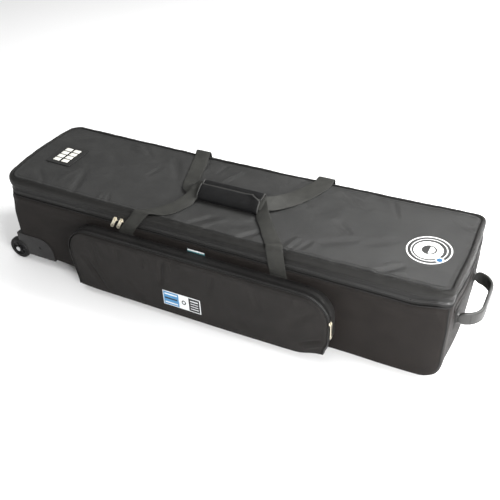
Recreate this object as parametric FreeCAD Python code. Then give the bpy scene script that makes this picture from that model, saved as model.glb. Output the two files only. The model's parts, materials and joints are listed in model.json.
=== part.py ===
import FreeCAD, Part

import math
import os

# A long soft case for drum stands and pedals: padded cloth walls, a zipped lid, a zipped front
# pocket, two wheels at the left end and a tow handle at the right end.
# Millimetres. X runs from the wheels to the tow handle, Y from the pocket to the back, Z up.
# The origin is the middle of the flat underside.

V = FreeCAD.Vector
X_AXIS, Y_AXIS, Z_AXIS = V(1, 0, 0), V(0, 1, 0), V(0, 0, 1)

# Overall size of the case
case_length = 1388
case_width = 356
case_height = 290
corner_radius = 45
body_corner_radius = 14
corner_blend_height = 80
end_radius = 900
end_roll = 60
wheel_end_roll = 14
lid_depth = 45
lid_sag = 8

# Layers of the walls
cloth = 1.2
foam = 8
lining_cloth = 0.8
board = 3
board_margin = 52
overrun = 20

# Zip round the front and both ends
tape_width = 14.7
tape_thickness = 0.8
coil_width = 3
coil_thickness = 1.6
zip_gap = 0.6
rim_drop = 2
welt_diameter = 5
lid_piping_diameter = 6
bead_steps = 4
corner_piping_diameter = 5

# Webbing carry handle and its padded wrap
webbing_width = 50
webbing_thickness = 2
webbing_gap = 0.4
anchor_height = 18
anchor_below_zip = 38
anchor_thickness = 3
leg_hinge_out = 2.2
bend_below_top = 6
bend_out = 11
bow_share = 0.45
shoulder_share = 0.8
front_left_anchor_x = -245
front_left_bend_x = -180
front_right_anchor_x = 238
front_right_bend_x = 229
rear_left_x = -183
rear_right_x = 228
wrap_length = 192
wrap_middle_x = 22
wrap_middle_y = -28
wrap_height = 62
wrap_thickness = 26
wrap_edge_radius = 11.8
wrap_slot = 7
wrap_lean_degrees = 32
wrap_lift = 0.3
wrap_end_gap = 6
lid_ride = 3

# Front pocket
pocket_length = 835
pocket_middle_x = -17.5
pocket_below_zip = 45
pocket_depth = 50
pocket_radius = 80
pocket_cloth = 1.2
pocket_flap_height = 82
pocket_tape_width = 9.7
pocket_fold_gap = 0.4

# Sliders and pulls
slider_length = 11
slider_height = 12
slider_plate = 1.4
slider_clearance = 0.5
slider_web_gap = 0.3
left_slider_x = -274
right_slider_x = -253
bail_width = 1.6
bail_thickness = 1.4
bail_height = 1.5
main_bail_room = 1.1
pocket_bail_room = 0.6
pull_length = 37
pull_width = 11
pull_thickness = 1.8
pull_bar = 1.6
pull_eye_length = 6.2
pull_eye_width = 5.4
pull_tail_hole_length = 14
pull_tail_hole_width = 4.5
pull_tilt_degrees = 30
pocket_slider_above_fold = 8
pocket_pull_length = 56

# Labels
label_thickness = 0.8
label_length = 124
label_height = 45
label_middle_x = -47
label_foot = 33
tab_label_length = 55
tab_label_height = 11
tab_label_middle_x = -12
tab_label_above_pocket = 0.3
plate_from_end = 117
plate_length = 92
plate_width = 104
plate_thickness = 2
plate_corner_radius = 4
cell_columns = 2
cell_rows = 4
cell_thickness = 0.6
cell_length = 24
cell_width = 16
cell_pitch_x = 31
cell_pitch_y = 20
emblem_from_end = 104
emblem_y = -27
emblem_diameter = 125
emblem_thickness = 0.6
patch_lift = 0.1

# Tow handle on the right end
tow_below_band = 34
tow_span = 190
tow_reach = 60
tow_band_height = 39
tow_band_thickness = 11
tow_corner_radius = 36
tow_gap = 0.4
patch_width = 58
patch_height = 64
patch_thickness = 3
end_band_height = 18
end_band_below_zip = 61
end_band_thickness = 1.2

# Wheels at the left end
wheel_diameter = 75
wheel_width = 24
wheel_out = 13
wheel_axle_height = 6
wheel_inset = 1
tyre_thickness = 11
hub_web = 8
hub_boss_diameter = 20
hub_rim_thickness = 3
hub_fit = 0.05
axle_diameter = 8
axle_fit = 0.05
axle_head_diameter = 16
axle_head_thickness = 3
wheel_side_gap = 0.5
housing_length = 137
housing_height = 78
housing_depth = 62
housing_wall = 3
housing_proud = 2
housing_corner_radius = 50
housing_gap = 0.3
arch_gap = 4
cheek_thickness = 8
cheek_radius = 19
rivet_diameter = 9
rivet_shank_diameter = 4.5
rivet_dome = 2.2
rivet_edge_radius = 1.6
rivet_height = 36
rivet_from_axle = 98

# Feet under the right end, as high as the wheels reach
foot_length = 90
foot_width = 40
foot_taper = 6
foot_corner_radius = 8
foot_from_end = 134
foot_y = 105

# Hold-down straps inside
strap_width = 38
strap_thickness = 1.6
strap_spacing = 700
strap_rise = 70
buckle_length = 52
buckle_width = 44
buckle_height = 9
buckle_slot = 2.4

# An edge runs along an axis when its direction has at least this share of it
along_share = 0.9

# Worked out from the sizes above
zip_height = case_height - lid_depth
half_length = case_length / 2
half_width = case_width / 2
end_centre_x = half_length - end_radius
front_y = -half_width
inner_face = cloth + foam + lining_cloth
floor_top = cloth + foam + board + lining_cloth
tape_bottom = zip_height - zip_gap / 2 - tape_width
tape_top = zip_height + zip_gap / 2 + tape_width
rim_top = zip_height - rim_drop
square_top = tape_bottom - corner_blend_height
anchor_top = zip_height - anchor_below_zip
bend_height = case_height - bend_below_top
pocket_height = zip_height - pocket_below_zip
pocket_fold_height = pocket_height - pocket_flap_height
plate_x = plate_from_end - half_length
emblem_x = half_length - emblem_from_end
foot_x = half_length - foot_from_end
end_band_bottom = zip_height - end_band_below_zip
tow_height = end_band_bottom - tow_below_band
lid_middle_height = case_height - lid_sag
sag_radius = (half_length ** 2 + lid_sag ** 2) / (2 * lid_sag)
pocket_front_y = front_y - pocket_depth
pocket_left = pocket_middle_x - pocket_length / 2
pocket_right = pocket_middle_x + pocket_length / 2
pocket_split_y = pocket_front_y + pocket_tape_width + zip_gap / 2
pocket_back_y = pocket_front_y + 2 * (pocket_tape_width + zip_gap / 2)
axle_x = -(half_length + wheel_out)
ground = wheel_axle_height - wheel_diameter / 2
housing_left = -half_length + housing_proud
housing_right = housing_left + housing_length
wheel_outer_y = front_y + wheel_inset
wheel_inner_y = wheel_outer_y + wheel_width
cheek_outer_y = wheel_inner_y + wheel_side_gap
tow_face_x = end_centre_x + math.sqrt(end_radius ** 2 - (tow_span / 2 - patch_width / 2) ** 2)
tow_patch_x = tow_face_x + patch_thickness
tow_hinge_x = tow_patch_x + tow_gap + tow_band_height / 2
tow_outer_x = half_length + tow_reach


def box(x0, x1, y0, y1, z0, z1):
    """A box between two corners."""
    return Part.makeBox(x1 - x0, y1 - y0, z1 - z0, V(x0, y0, z0))


def cylinder(radius, length, start, axis):
    return Part.makeCylinder(radius, length, start, axis)


def corner_centre(radius):
    """Where the round corner's centre lies, so that it meets the side and the bowed end smoothly."""
    y = half_width - radius
    return end_centre_x + math.sqrt((end_radius - radius) ** 2 - y ** 2), y


mitre_offset = corner_centre(body_corner_radius)[0] - corner_centre(body_corner_radius)[1]


def prism(edges, direction):
    return Part.Face(Part.Wire(edges)).extrude(direction)


def polygon(points):
    """The straight edges of a closed outline."""
    closed = points + [points[0]]
    return [Part.makeLine(a, b) for a, b in zip(closed, closed[1:])]


def edges_along(shape, axis):
    """The straight edges of a shape that run along an axis."""
    found = []
    for edge in shape.Edges:
        run = edge.tangentAt(edge.FirstParameter)
        if abs(run.dot(axis)) > along_share:
            found.append(edge)
    return found


def mirror_y(shape):
    return shape.mirror(V(0, 0, 0), Y_AXIS)


def group(shapes):
    return Part.makeCompound(shapes)


def save(name, shape):
    """Write one node, as its bare solids."""
    solids = shape.Solids
    result = solids[0] if len(solids) == 1 else group(solids)
    result.exportStep("parts/" + name + ".step")
    print(name, len(solids), round(result.Volume / 1000, 2), result.isValid())


def plan_edges(inset, z, radius=corner_radius):
    """The case seen from above, moved in by inset: straight sides, bowed ends, round corners."""
    centre_x, centre_y = corner_centre(radius)
    r, big = radius - inset, end_radius - inset
    side = half_width - inset
    turn = math.atan2(centre_y, centre_x - end_centre_x)
    mid = (turn + math.pi / 2) / 2
    edges = []
    for sx, sy in ((1, -1), (1, 1), (-1, 1), (-1, -1)):
        centre = V(sx * centre_x, sy * centre_y, z)
        flat = V(sx * centre_x, sy * side, z)
        half = centre + V(sx * r * math.cos(mid), sy * r * math.sin(mid), 0)
        tangent = centre + V(sx * r * math.cos(turn), sy * r * math.sin(turn), 0)
        points = [flat, half, tangent] if sx * sy < 0 else [tangent, half, flat]
        edges.append((points, Part.Arc(*points).toShape()))
    result = []
    for index, (points, edge) in enumerate(edges):
        following = edges[(index + 1) % 4][0]
        result.append(edge)
        if index % 2 == 0:
            sx = 1 if index == 0 else -1
            apex = V(sx * (end_centre_x + big), 0, z)
            result.append(Part.Arc(points[-1], apex, following[0]).toShape())
        else:
            result.append(Part.makeLine(points[-1], following[0]))
    return result


def plan_prism(inset, z0, z1, radius=corner_radius):
    return prism(plan_edges(inset, z0, radius), V(0, 0, z1 - z0))


def plan_stack(inset, floor, top):
    """The body's plan from floor to top: square corners below that open into the zip's rounder ones."""
    lower = plan_prism(inset, floor, square_top, body_corner_radius)
    wires = [Part.Wire(plan_edges(inset, square_top, body_corner_radius)),
             Part.Wire(plan_edges(inset, tape_bottom))]
    upper = Part.makeLoft(wires, True, True)
    stack = lower.fuse(upper)
    if top > tape_bottom:
        stack = stack.fuse(plan_prism(inset, tape_bottom, top))
    return stack


def round_end(sx, radius, inset):
    """The quarter round under one end, seen from the front, as three points from side to floor."""
    x, z = sx * (half_length - radius), radius
    r = radius - inset
    slant = r * math.sqrt(0.5)
    return [V(x + sx * r, 0, z), V(x + sx * slant, 0, z - slant), V(x, 0, z - r)]


def mitre_point(radius):
    """Where the mitre between two walls crosses a round corner of the plan."""
    x, y = corner_centre(radius)
    aside = mitre_offset - x + y
    step = (math.sqrt(2 * radius ** 2 - aside ** 2) - aside) / 2
    return x + step + aside, y + step


def body_block(inset, floor, top):
    """The body inside one layer: the plan outline with rolled ends, from floor to top."""
    left = round_end(-1, wheel_end_roll + inset, inset)
    right = round_end(1, end_roll, inset)
    high = top + overrun
    edges = [
        Part.makeLine(V(left[0].x, 0, high), left[0]),
        Part.Arc(*left).toShape(),
        Part.makeLine(left[2], right[2]),
        Part.Arc(*reversed(right)).toShape(),
        Part.makeLine(right[0], V(right[0].x, 0, high)),
        Part.makeLine(V(right[0].x, 0, high), V(left[0].x, 0, high)),
    ]
    profile = prism(edges, V(0, case_width, 0))
    profile.translate(V(0, -half_width, 0))
    return plan_stack(inset, floor, top).common(profile)


def sag_prism(drop, bottom):
    """All that lies under the lid's sagging top, lowered by drop, from bottom up."""
    reach = half_length + overrun
    dip = sag_radius - math.sqrt(sag_radius ** 2 - reach ** 2)
    middle = lid_middle_height - drop
    ends = [V(-reach, 0, middle + dip), V(reach, 0, middle + dip)]
    low = [V(reach, 0, bottom), V(-reach, 0, bottom)]
    arc = Part.Arc(ends[0], V(0, 0, middle), ends[1]).toShape()
    edges = [arc, Part.makeLine(ends[1], low[0])]
    edges += [Part.makeLine(low[0], low[1]), Part.makeLine(low[1], ends[0])]
    solid = prism(edges, V(0, case_width + 2 * overrun, 0))
    solid.translate(V(0, -half_width - overrun, 0))
    return solid


def lid_block(inset, drop, bottom):
    return plan_prism(inset, bottom, case_height + overrun).common(sag_prism(drop, bottom))


def lid_patch(outline, thickness, lift):
    """A flat patch on the lid, following its sag. The outline is a tall prism."""
    above = sag_prism(-lift - thickness, zip_height)
    below = sag_prism(-lift, zip_height)
    return outline.common(above).cut(below)


def side_region(side, low, high):
    """The wedge of the plan that belongs to one wall, up to the mitres at the corners."""
    out_x, out_y = half_length + overrun, half_width + overrun
    depth = half_width - overrun
    x_out = out_y + mitre_offset
    x_in = x_out - depth
    y_in = out_y - depth
    if side in ("front", "rear"):
        sign = -1 if side == "front" else 1
        points = [V(-x_out, sign * out_y, low), V(x_out, sign * out_y, low)]
        points += [V(x_in, sign * y_in, low), V(-x_in, sign * y_in, low)]
    else:
        sign = -1 if side == "left" else 1
        points = [V(sign * x_out, -out_y, low), V(sign * x_in, -y_in, low)]
        points += [V(sign * x_in, y_in, low), V(sign * x_out, out_y, low)]
        points += [V(sign * (out_x + overrun), out_y, low), V(sign * (out_x + overrun), -out_y, low)]
    return prism(polygon(points), V(0, 0, high - low))


def rear_region(low, high):
    """The back with its two corners, where the lid hinges and there is no zip."""
    x, y = half_length + overrun, corner_centre(corner_radius)[1]
    return box(-x, x, y, half_width + overrun, low, high)


def housing_space(clearance):
    """The square corner that one wheel housing fills, cut out of the cloth, foam and lining."""
    x0 = housing_left - overrun
    solid = box(x0, housing_right + clearance, front_y - overrun, front_y + housing_depth + clearance,
                -overrun, housing_height + clearance)
    return solid


def cut_housings(shape):
    space = housing_space(housing_gap)
    return shape.cut(space).cut(mirror_y(space))


def bead_ring(z, diameter):
    """A half-round bead all round the plan outline, as a stack of tapered rings."""
    radius = diameter / 2
    wires = []
    for step in range(bead_steps + 1):
        turn = math.pi * step / bead_steps - math.pi / 2
        out, rise = radius * math.cos(turn), radius * math.sin(turn)
        wires.append(Part.Wire(plan_edges(-out, z + rise)))
    stack = Part.makeLoft(wires, True, True)
    return stack.cut(plan_prism(0, z - radius, z + radius))


def body_walls():
    outer = body_block(0, 0, tape_bottom)
    shell = outer.cut(body_block(cloth, cloth, tape_bottom + overrun))
    under = shell.common(plan_prism(0, 0, cloth))
    shell = cut_housings(shell.cut(plan_prism(0, 0, cloth)))
    save("base_panel", cut_housings(under))
    for side, name in (("front", "front_panel"), ("rear", "rear_panel"),
                       ("left", "left_end_panel"), ("right", "right_end_panel")):
        save(name, shell.common(side_region(side, -overrun, case_height)))


def body_pads():
    outer = body_block(cloth, cloth, rim_top)
    inner = body_block(cloth + foam, cloth + foam, rim_top + overrun)
    layer = cut_housings(outer.cut(inner))
    floor_slab = plan_prism(0, 0, cloth + foam)
    save("base_pad", layer.common(floor_slab))
    walls = layer.cut(floor_slab)
    for side, name in (("front", "front_pad"), ("rear", "rear_pad")):
        save(name, walls.common(side_region(side, -overrun, case_height)))
    ends = [walls.common(side_region(side, -overrun, case_height)) for side in ("left", "right")]
    save("end_pads", group(ends))


def body_lining():
    inset = cloth + foam
    outer = body_block(inset, inset + board, rim_top)
    inner = body_block(inner_face, floor_top, rim_top + overrun)
    save("body_lining", cut_housings(outer.cut(inner)))
    sheet = box(-half_length + board_margin, half_length - end_roll, -half_width + inner_face,
                half_width - inner_face, inset, inset + board)
    save("base_board", cut_housings(sheet.common(plan_prism(inner_face, 0, case_height))))


def body_piping():
    """Beads in the four corner seams, and the welt under the zip."""
    radius = corner_piping_diameter / 2
    beads = []
    for sx in (-1, 1):
        for sy in (-1, 1):
            low = housing_height + housing_gap if sx < 0 else end_roll
            x, y = mitre_point(body_corner_radius)
            bottom, bend = V(sx * x, sy * y, low), V(sx * x, sy * y, square_top)
            x, y = mitre_point(corner_radius)
            top = V(sx * x, sy * y, tape_bottom)
            lower = cylinder(radius, square_top - low, bottom, Z_AXIS)
            upper = cylinder(radius, (top - bend).Length, bend, top - bend)
            under_welt = plan_prism(-overrun, low, tape_bottom - welt_diameter / 2)
            beads.append(lower.fuse(upper).common(under_welt))
    inside = body_block(0, 0, tape_bottom)
    save("corner_piping", group([one.cut(inside) for one in beads]))
    save("zip_welt", bead_ring(tape_bottom, welt_diameter).cut(inside))


def zip_halves():
    """Tape and coil on the body and on the lid. The back has a plain hinge strip instead."""
    back = rear_region(0, case_height)
    low, high = zip_height - zip_gap / 2, zip_height + zip_gap / 2
    ring = plan_prism(0, tape_bottom, low).cut(plan_prism(tape_thickness, tape_bottom, low))
    save("lower_zip_tape", ring.cut(back))
    save("hinge_strip", ring.common(back))
    ring = plan_prism(0, high, tape_top).cut(plan_prism(tape_thickness, high, tape_top))
    save("upper_zip_tape", ring.cut(back))
    for name, z0, z1 in (("lower_zip_coil", low - coil_width, low),
                         ("upper_zip_coil", high, high + coil_width)):
        ring = plan_prism(-coil_thickness, z0, z1).cut(plan_prism(0, z0, z1))
        save(name, ring.cut(back))


def lid():
    """The sagging top, the band round it and the hinge part of the band at the back."""
    whole = lid_block(0, 0, zip_height + zip_gap / 2)
    under_top = lid_block(0, cloth, zip_height)
    save("lid_top_panel", whole.cut(under_top))
    ring = under_top.common(whole).cut(plan_prism(cloth, zip_height, case_height))
    slot = plan_prism(0, zip_height, tape_top).cut(rear_region(0, case_height))
    save("lid_side_band", ring.cut(slot))
    bottom = zip_height + rim_drop
    inset = cloth + foam
    tub = lid_block(cloth, cloth, bottom).cut(lid_block(inset, inset, bottom - overrun))
    save("lid_pad", tub)
    liner = lid_block(inset, inset, bottom).cut(lid_block(inner_face, inner_face, bottom - overrun))
    save("lid_lining", liner)
    save("lid_piping", bead_ring(case_height - lid_piping_diameter / 2, lid_piping_diameter))


def rounded_prism(x, y, length, width, radius):
    """A tall upright prism with round corners over the lid."""
    solid = box(x - length / 2, x + length / 2, y - width / 2, y + width / 2,
                zip_height, case_height + overrun)
    return solid.makeFillet(radius, edges_along(solid, Z_AXIS))


def lid_badges():
    """The plate with its eight blank cells, and the round emblem."""
    frame = rounded_prism(plate_x, 0, plate_length, plate_width, plate_corner_radius)
    save("id_plate", lid_patch(frame, plate_thickness, patch_lift))
    cells = []
    for column in range(cell_columns):
        for row in range(cell_rows):
            x = plate_x + (column - (cell_columns - 1) / 2) * cell_pitch_x
            y = (row - (cell_rows - 1) / 2) * cell_pitch_y
            cell = box(x - cell_length / 2, x + cell_length / 2, y - cell_width / 2, y + cell_width / 2,
                       zip_height, case_height + overrun)
            cells.append(lid_patch(cell, cell_thickness, plate_thickness + 2 * patch_lift))
    save("id_cells", group(cells))
    disc = cylinder(emblem_diameter / 2, case_height, V(emblem_x, emblem_y, 0), Z_AXIS)
    save("lid_emblem", lid_patch(disc, emblem_thickness, patch_lift))


def ribbon(stations, width, thickness):
    """Webbing through stations of (x, y, z), with its width along X and square ends."""
    sections = []
    last = len(stations) - 1
    for index, (x, y, z) in enumerate(stations):
        before, after = stations[max(index - 1, 0)], stations[min(index + 1, last)]
        run = V(0, after[1] - before[1], after[2] - before[2]).normalize()
        across = V(0, -run.z, run.y) * (thickness / 2)
        side = V(width / 2, 0, 0)
        point = V(x, y, z)
        corners = [point - side - across, point + side - across, point + side + across, point - side + across]
        sections.append(Part.makePolygon(corners + [corners[0]]))
    return Part.makeLoft(sections, True, True)


def handle_leg(anchor_x, bend_x, sign):
    """One leg, from its stitches up the wall to the bend beside the lid's edge."""
    wall = sign * half_width
    rise = bend_height - anchor_top
    stations = [
        (anchor_x, wall + sign * leg_hinge_out, anchor_top + webbing_gap),
        (anchor_x + bow_share * (bend_x - anchor_x), wall + sign * bend_out * shoulder_share,
         anchor_top + rise * bow_share),
        (bend_x, wall + sign * bend_out, bend_height - webbing_gap / 2),
    ]
    return ribbon(stations, webbing_width, webbing_thickness)


def loop_arm(bend_x, wrap_end_x, sign, height_in_wrap):
    """One arm of a loop, from the bend over the lid's edge to the wrap's end."""
    wall = sign * half_width
    over = case_height + lid_ride
    rest = lid_middle_height + lid_ride
    start_y, end_y = wall + sign * bend_out, wrap_middle_y + sign * webbing_thickness
    edge_in = sign * lid_piping_diameter
    middle_x = (bend_x + wrap_end_x) / 2
    stations = [
        (bend_x, start_y, bend_height + webbing_gap / 2),
        (bend_x, wall + sign * bend_out * shoulder_share, over),
        (bend_x, wall - edge_in, over + lid_ride),
        (middle_x, (start_y + end_y) / 2, rest),
        (wrap_end_x, end_y, height_in_wrap),
    ]
    return ribbon(stations, webbing_width, webbing_thickness)


def wrap_place(shape):
    """Lean the wrap's parts over and set them down on the lid."""
    lean = math.radians(wrap_lean_degrees)
    core_y, core_z = wrap_height / 2 - wrap_edge_radius, wrap_thickness / 2 - wrap_edge_radius
    drop = core_y * math.sin(lean) + core_z * math.cos(lean) + wrap_edge_radius
    shape.rotate(V(0, 0, 0), X_AXIS, wrap_lean_degrees)
    shape.translate(V(wrap_middle_x, wrap_middle_y, lid_middle_height + wrap_lift + drop))
    return shape


def handle_anchors():
    """The stitched ends of the webbing, on the front and the back. The front ones reach behind the pocket."""
    anchors = []
    for x, sign in ((front_left_anchor_x, -1), (front_right_anchor_x, -1),
                    (rear_left_x, 1), (rear_right_x, 1)):
        y0, y1 = sorted((sign * half_width, sign * (half_width + anchor_thickness)))
        anchors.append(box(x - webbing_width / 2, x + webbing_width / 2, y0, y1,
                           anchor_top - anchor_height, anchor_top))
    return group(anchors)


def carry_handles():
    """Anchors, legs and loops of both handles, and the padded wrap round them."""
    save("handle_anchors", handle_anchors())
    front_legs = [handle_leg(front_left_anchor_x, front_left_bend_x, -1)]
    front_legs.append(handle_leg(front_right_anchor_x, front_right_bend_x, -1))
    save("front_handle_legs", group(front_legs))
    rear_legs = [handle_leg(x, x, 1) for x in (rear_left_x, rear_right_x)]
    save("rear_handle_legs", group(rear_legs))
    half = wrap_length / 2
    left_end = wrap_middle_x - half - wrap_end_gap - webbing_width / 2
    right_end = wrap_middle_x + half + wrap_end_gap + webbing_width / 2
    low = lid_middle_height + wrap_height / 4
    for name, sign, xs in (("front_handle_loop", -1, (front_left_bend_x, front_right_bend_x)),
                           ("rear_handle_loop", 1, (rear_left_x, rear_right_x))):
        run_y = sign * (webbing_thickness + webbing_gap) / 2
        run = box(-half - wrap_end_gap, half + wrap_end_gap, -webbing_width / 2, webbing_width / 2,
                  run_y - webbing_thickness / 2, run_y + webbing_thickness / 2)
        run = wrap_place(run)
        arms = [loop_arm(xs[0], left_end, sign, low), loop_arm(xs[1], right_end, sign, low)]
        save(name, group([run] + arms))
    body = box(-half, half, -wrap_height / 2, wrap_height / 2, -wrap_thickness / 2, wrap_thickness / 2)
    body = body.makeFillet(wrap_edge_radius, edges_along(body, X_AXIS))
    slot_y = webbing_width / 2 + webbing_gap
    slot = box(-half - overrun, half + overrun, -slot_y, slot_y, -wrap_slot / 2, wrap_slot / 2)
    save("grip_wrap", wrap_place(body.cut(slot)))


def pocket_edges(inset, y, foot):
    """The pocket seen from the front, moved in by inset, standing on foot."""
    x0, x1 = pocket_left + inset, pocket_right - inset
    top = pocket_height - inset
    r, cx0, cx1 = pocket_radius - inset, pocket_left + pocket_radius, pocket_right - pocket_radius
    cz = pocket_height - pocket_radius
    slant = r * math.sqrt(0.5)
    points = [V(x0, y, foot), V(x0, y, cz), V(cx0 - slant, y, cz + slant), V(cx0, y, top)]
    points += [V(cx1, y, top), V(cx1 + slant, y, cz + slant), V(x1, y, cz), V(x1, y, foot)]
    return [
        Part.makeLine(points[0], points[1]),
        Part.Arc(points[1], points[2], points[3]).toShape(),
        Part.makeLine(points[3], points[4]),
        Part.Arc(points[4], points[5], points[6]).toShape(),
        Part.makeLine(points[6], points[7]),
        Part.makeLine(points[7], points[0]),
    ]


def pocket_prism(inset, y0, y1, foot):
    return prism(pocket_edges(inset, y0, foot), V(0, y1 - y0, 0))


def pocket():
    """Gusset, lower front, folding upper front, and the zip that joins them."""
    t = pocket_cloth
    above = box(pocket_left - overrun, pocket_right + overrun, pocket_front_y - overrun, front_y,
                pocket_fold_height, pocket_height + overrun)
    fold_low = pocket_fold_height - pocket_fold_gap
    below = box(pocket_left - overrun, pocket_right + overrun, pocket_front_y - overrun, front_y, 0, fold_low)
    whole = pocket_prism(0, pocket_front_y, front_y, 0)
    hollow = pocket_prism(t, pocket_front_y + t, front_y + t, t)
    shell = whole.cut(hollow)
    front_plate = pocket_prism(0, pocket_front_y, pocket_front_y + t, 0)
    save("pocket_lower_front", front_plate.common(below))
    back_strip = box(pocket_left - overrun, pocket_right + overrun, pocket_back_y, front_y, 0,
                     pocket_height + overrun)
    gusset = shell.cut(front_plate).cut(handle_anchors())
    save("pocket_gusset", gusset.common(back_strip).fuse(gusset.common(below)).removeSplitter())
    save("pocket_flap", front_plate.common(above))
    for name, y0, y1, coil_y0, coil_y1 in (
            ("pocket_gusset_zip", pocket_split_y + zip_gap / 2, pocket_back_y,
             pocket_split_y + zip_gap / 2, pocket_split_y + zip_gap / 2 + coil_width),
            ("pocket_flap_zip", pocket_front_y + t, pocket_split_y - zip_gap / 2,
             pocket_split_y - zip_gap / 2 - coil_width, pocket_split_y - zip_gap / 2)):
        tape = pocket_prism(0, y0, y1, 0).cut(pocket_prism(tape_thickness, y0 - t, y1 + t, 0))
        coil = pocket_prism(-coil_thickness, coil_y0, coil_y1, 0)
        coil = coil.cut(pocket_prism(0, coil_y0 - t, coil_y1 + t, 0))
        save(name, tape.common(above).fuse(coil.common(above)))


def labels():
    y = pocket_front_y - label_thickness
    save("pocket_label", box(label_middle_x - label_length / 2, label_middle_x + label_length / 2, y,
                             pocket_front_y, label_foot, label_foot + label_height))
    x0 = tab_label_middle_x - tab_label_length / 2
    z0 = pocket_height + tab_label_above_pocket
    save("tab_label", box(x0, x0 + tab_label_length, front_y - label_thickness, front_y,
                          z0, z0 + tab_label_height))


def bail(front_y, room):
    """The bridge on a slider's plate, with room all round the pull's bar."""
    inner_y = front_y - 2 * room - pull_thickness
    half = pull_bar / 2 + room
    ring = box(-bail_width / 2, bail_width / 2, inner_y - bail_thickness, front_y,
               bail_height - half - bail_thickness, bail_height + half + bail_thickness)
    hole = box(-bail_width, bail_width, inner_y, front_y, bail_height - half, bail_height + half)
    return ring.cut(hole)


def slider_body(room, opens_up):
    """A slider at the origin, in front of the plane Y = 0. Its web stands beside the coils."""
    plate_y = -coil_thickness - slider_clearance
    web_start = zip_gap / 2 + coil_width + slider_clearance
    along, across = slider_length / 2, slider_height / 2
    if opens_up:
        front = box(-along, along, plate_y - slider_plate, plate_y, -across, across)
        web = box(-along, along, plate_y, -slider_web_gap, -across, -web_start)
    else:
        front = box(-across, across, plate_y - slider_plate, plate_y, -along, along)
        web = box(web_start, across, plate_y, -slider_web_gap, -along, along)
    return front.fuse(web).fuse(bail(plate_y - slider_plate, room)).removeSplitter()


def pull_plate(length, room):
    """A pull hanging from the slider's bail, with a wide eye and a long slot in its tail."""
    y1 = -coil_thickness - slider_clearance - slider_plate - room
    y0 = y1 - pull_thickness
    r = pull_width / 2
    top = bail_height + pull_bar / 2
    cz0, cz1 = top - r, top - length + r
    outline = [
        Part.Arc(V(-r, y0, cz0), V(0, y0, top), V(r, y0, cz0)).toShape(),
        Part.makeLine(V(r, y0, cz0), V(r, y0, cz1)),
        Part.Arc(V(r, y0, cz1), V(0, y0, cz1 - r), V(-r, y0, cz1)).toShape(),
        Part.makeLine(V(-r, y0, cz1), V(-r, y0, cz0)),
    ]
    plate = prism(outline, V(0, pull_thickness, 0))
    eye_top = top - pull_bar
    eye = box(-pull_eye_width / 2, pull_eye_width / 2, y0 - overrun, y1 + overrun,
              eye_top - pull_eye_length, eye_top)
    slot_half = pull_tail_hole_width / 2
    slot_low = cz1 - slot_half
    slot = box(-slot_half, slot_half, y0 - overrun, y1 + overrun, slot_low, slot_low + pull_tail_hole_length)
    return plate.cut(eye).cut(slot)


def sliders():
    """Two sliders side by side on the main zip, with slanting pulls, and one on the pocket's right side."""
    for side, x in (("left", left_slider_x), ("right", right_slider_x)):
        place = V(x, front_y, zip_height)
        body = slider_body(main_bail_room, True)
        plate = pull_plate(pull_length, main_bail_room)
        plate.rotate(V(0, 0, bail_height), Y_AXIS, pull_tilt_degrees)
        body.translate(place)
        plate.translate(place)
        save("main_slider_" + side, body)
        save("main_pull_" + side, plate)
    turn = FreeCAD.Placement(V(pocket_right, pocket_split_y, pocket_fold_height + pocket_slider_above_fold),
                             FreeCAD.Rotation(Z_AXIS, 90))
    body = slider_body(pocket_bail_room, False)
    plate = pull_plate(pocket_pull_length, pocket_bail_room)
    for name, shape in (("pocket_slider", body), ("pocket_pull", plate)):
        shape.Placement = turn
        save(name, shape)


def tow_edges(inset, x0, z):
    """The tow handle's loop seen from above, moved in by inset, open ends at x0."""
    half = tow_span / 2 - inset
    x1 = tow_outer_x - inset
    r = tow_corner_radius - inset
    cx, cy = tow_outer_x - tow_corner_radius, tow_span / 2 - tow_corner_radius
    slant = r * math.sqrt(0.5)
    points = [V(x0, -half, z), V(cx, -half, z), V(cx + slant, -cy - slant, z), V(x1, -cy, z)]
    points += [V(x1, cy, z), V(cx + slant, cy + slant, z), V(cx, half, z), V(x0, half, z)]
    return [
        Part.makeLine(points[0], points[1]),
        Part.Arc(points[1], points[2], points[3]).toShape(),
        Part.makeLine(points[3], points[4]),
        Part.Arc(points[4], points[5], points[6]).toShape(),
        Part.makeLine(points[6], points[7]),
        Part.makeLine(points[7], points[0]),
    ]


def tow_handle():
    """The stiff loop, the two stitched patches behind its ends and the band above them."""
    low = tow_height - tow_band_height / 2
    high = tow_height + tow_band_height / 2
    outer = prism(tow_edges(0, tow_hinge_x, low), V(0, 0, tow_band_height))
    hole = prism(tow_edges(tow_band_thickness, tow_hinge_x - overrun, low), V(0, 0, tow_band_height))
    loop = outer.cut(hole)
    noses = []
    patches = []
    block = plan_prism(0, 0, case_height)
    for sign in (-1, 1):
        y0, y1 = sorted((sign * tow_span / 2, sign * (tow_span / 2 - tow_band_thickness)))
        noses.append(cylinder(tow_band_height / 2, tow_band_thickness, V(tow_hinge_x, y0, tow_height),
                              Y_AXIS))
        middle = sign * (tow_span - tow_band_thickness) / 2
        patch = box(tow_face_x - overrun, tow_patch_x, middle - patch_width / 2, middle + patch_width / 2,
                    tow_height - patch_height / 2, tow_height + patch_height / 2)
        patches.append(patch.cut(block))
    for nose in noses:
        loop = loop.fuse(nose)
    save("tow_handle", loop.removeSplitter())
    save("tow_patches", group(patches))
    z1 = end_band_bottom + end_band_height
    band = plan_prism(-end_band_thickness, end_band_bottom, z1).cut(plan_prism(0, end_band_bottom, z1))
    x, y = corner_centre(corner_radius)
    keep = box(x, half_length + overrun, -y, y, 0, case_height)
    save("end_band", band.common(keep))


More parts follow.
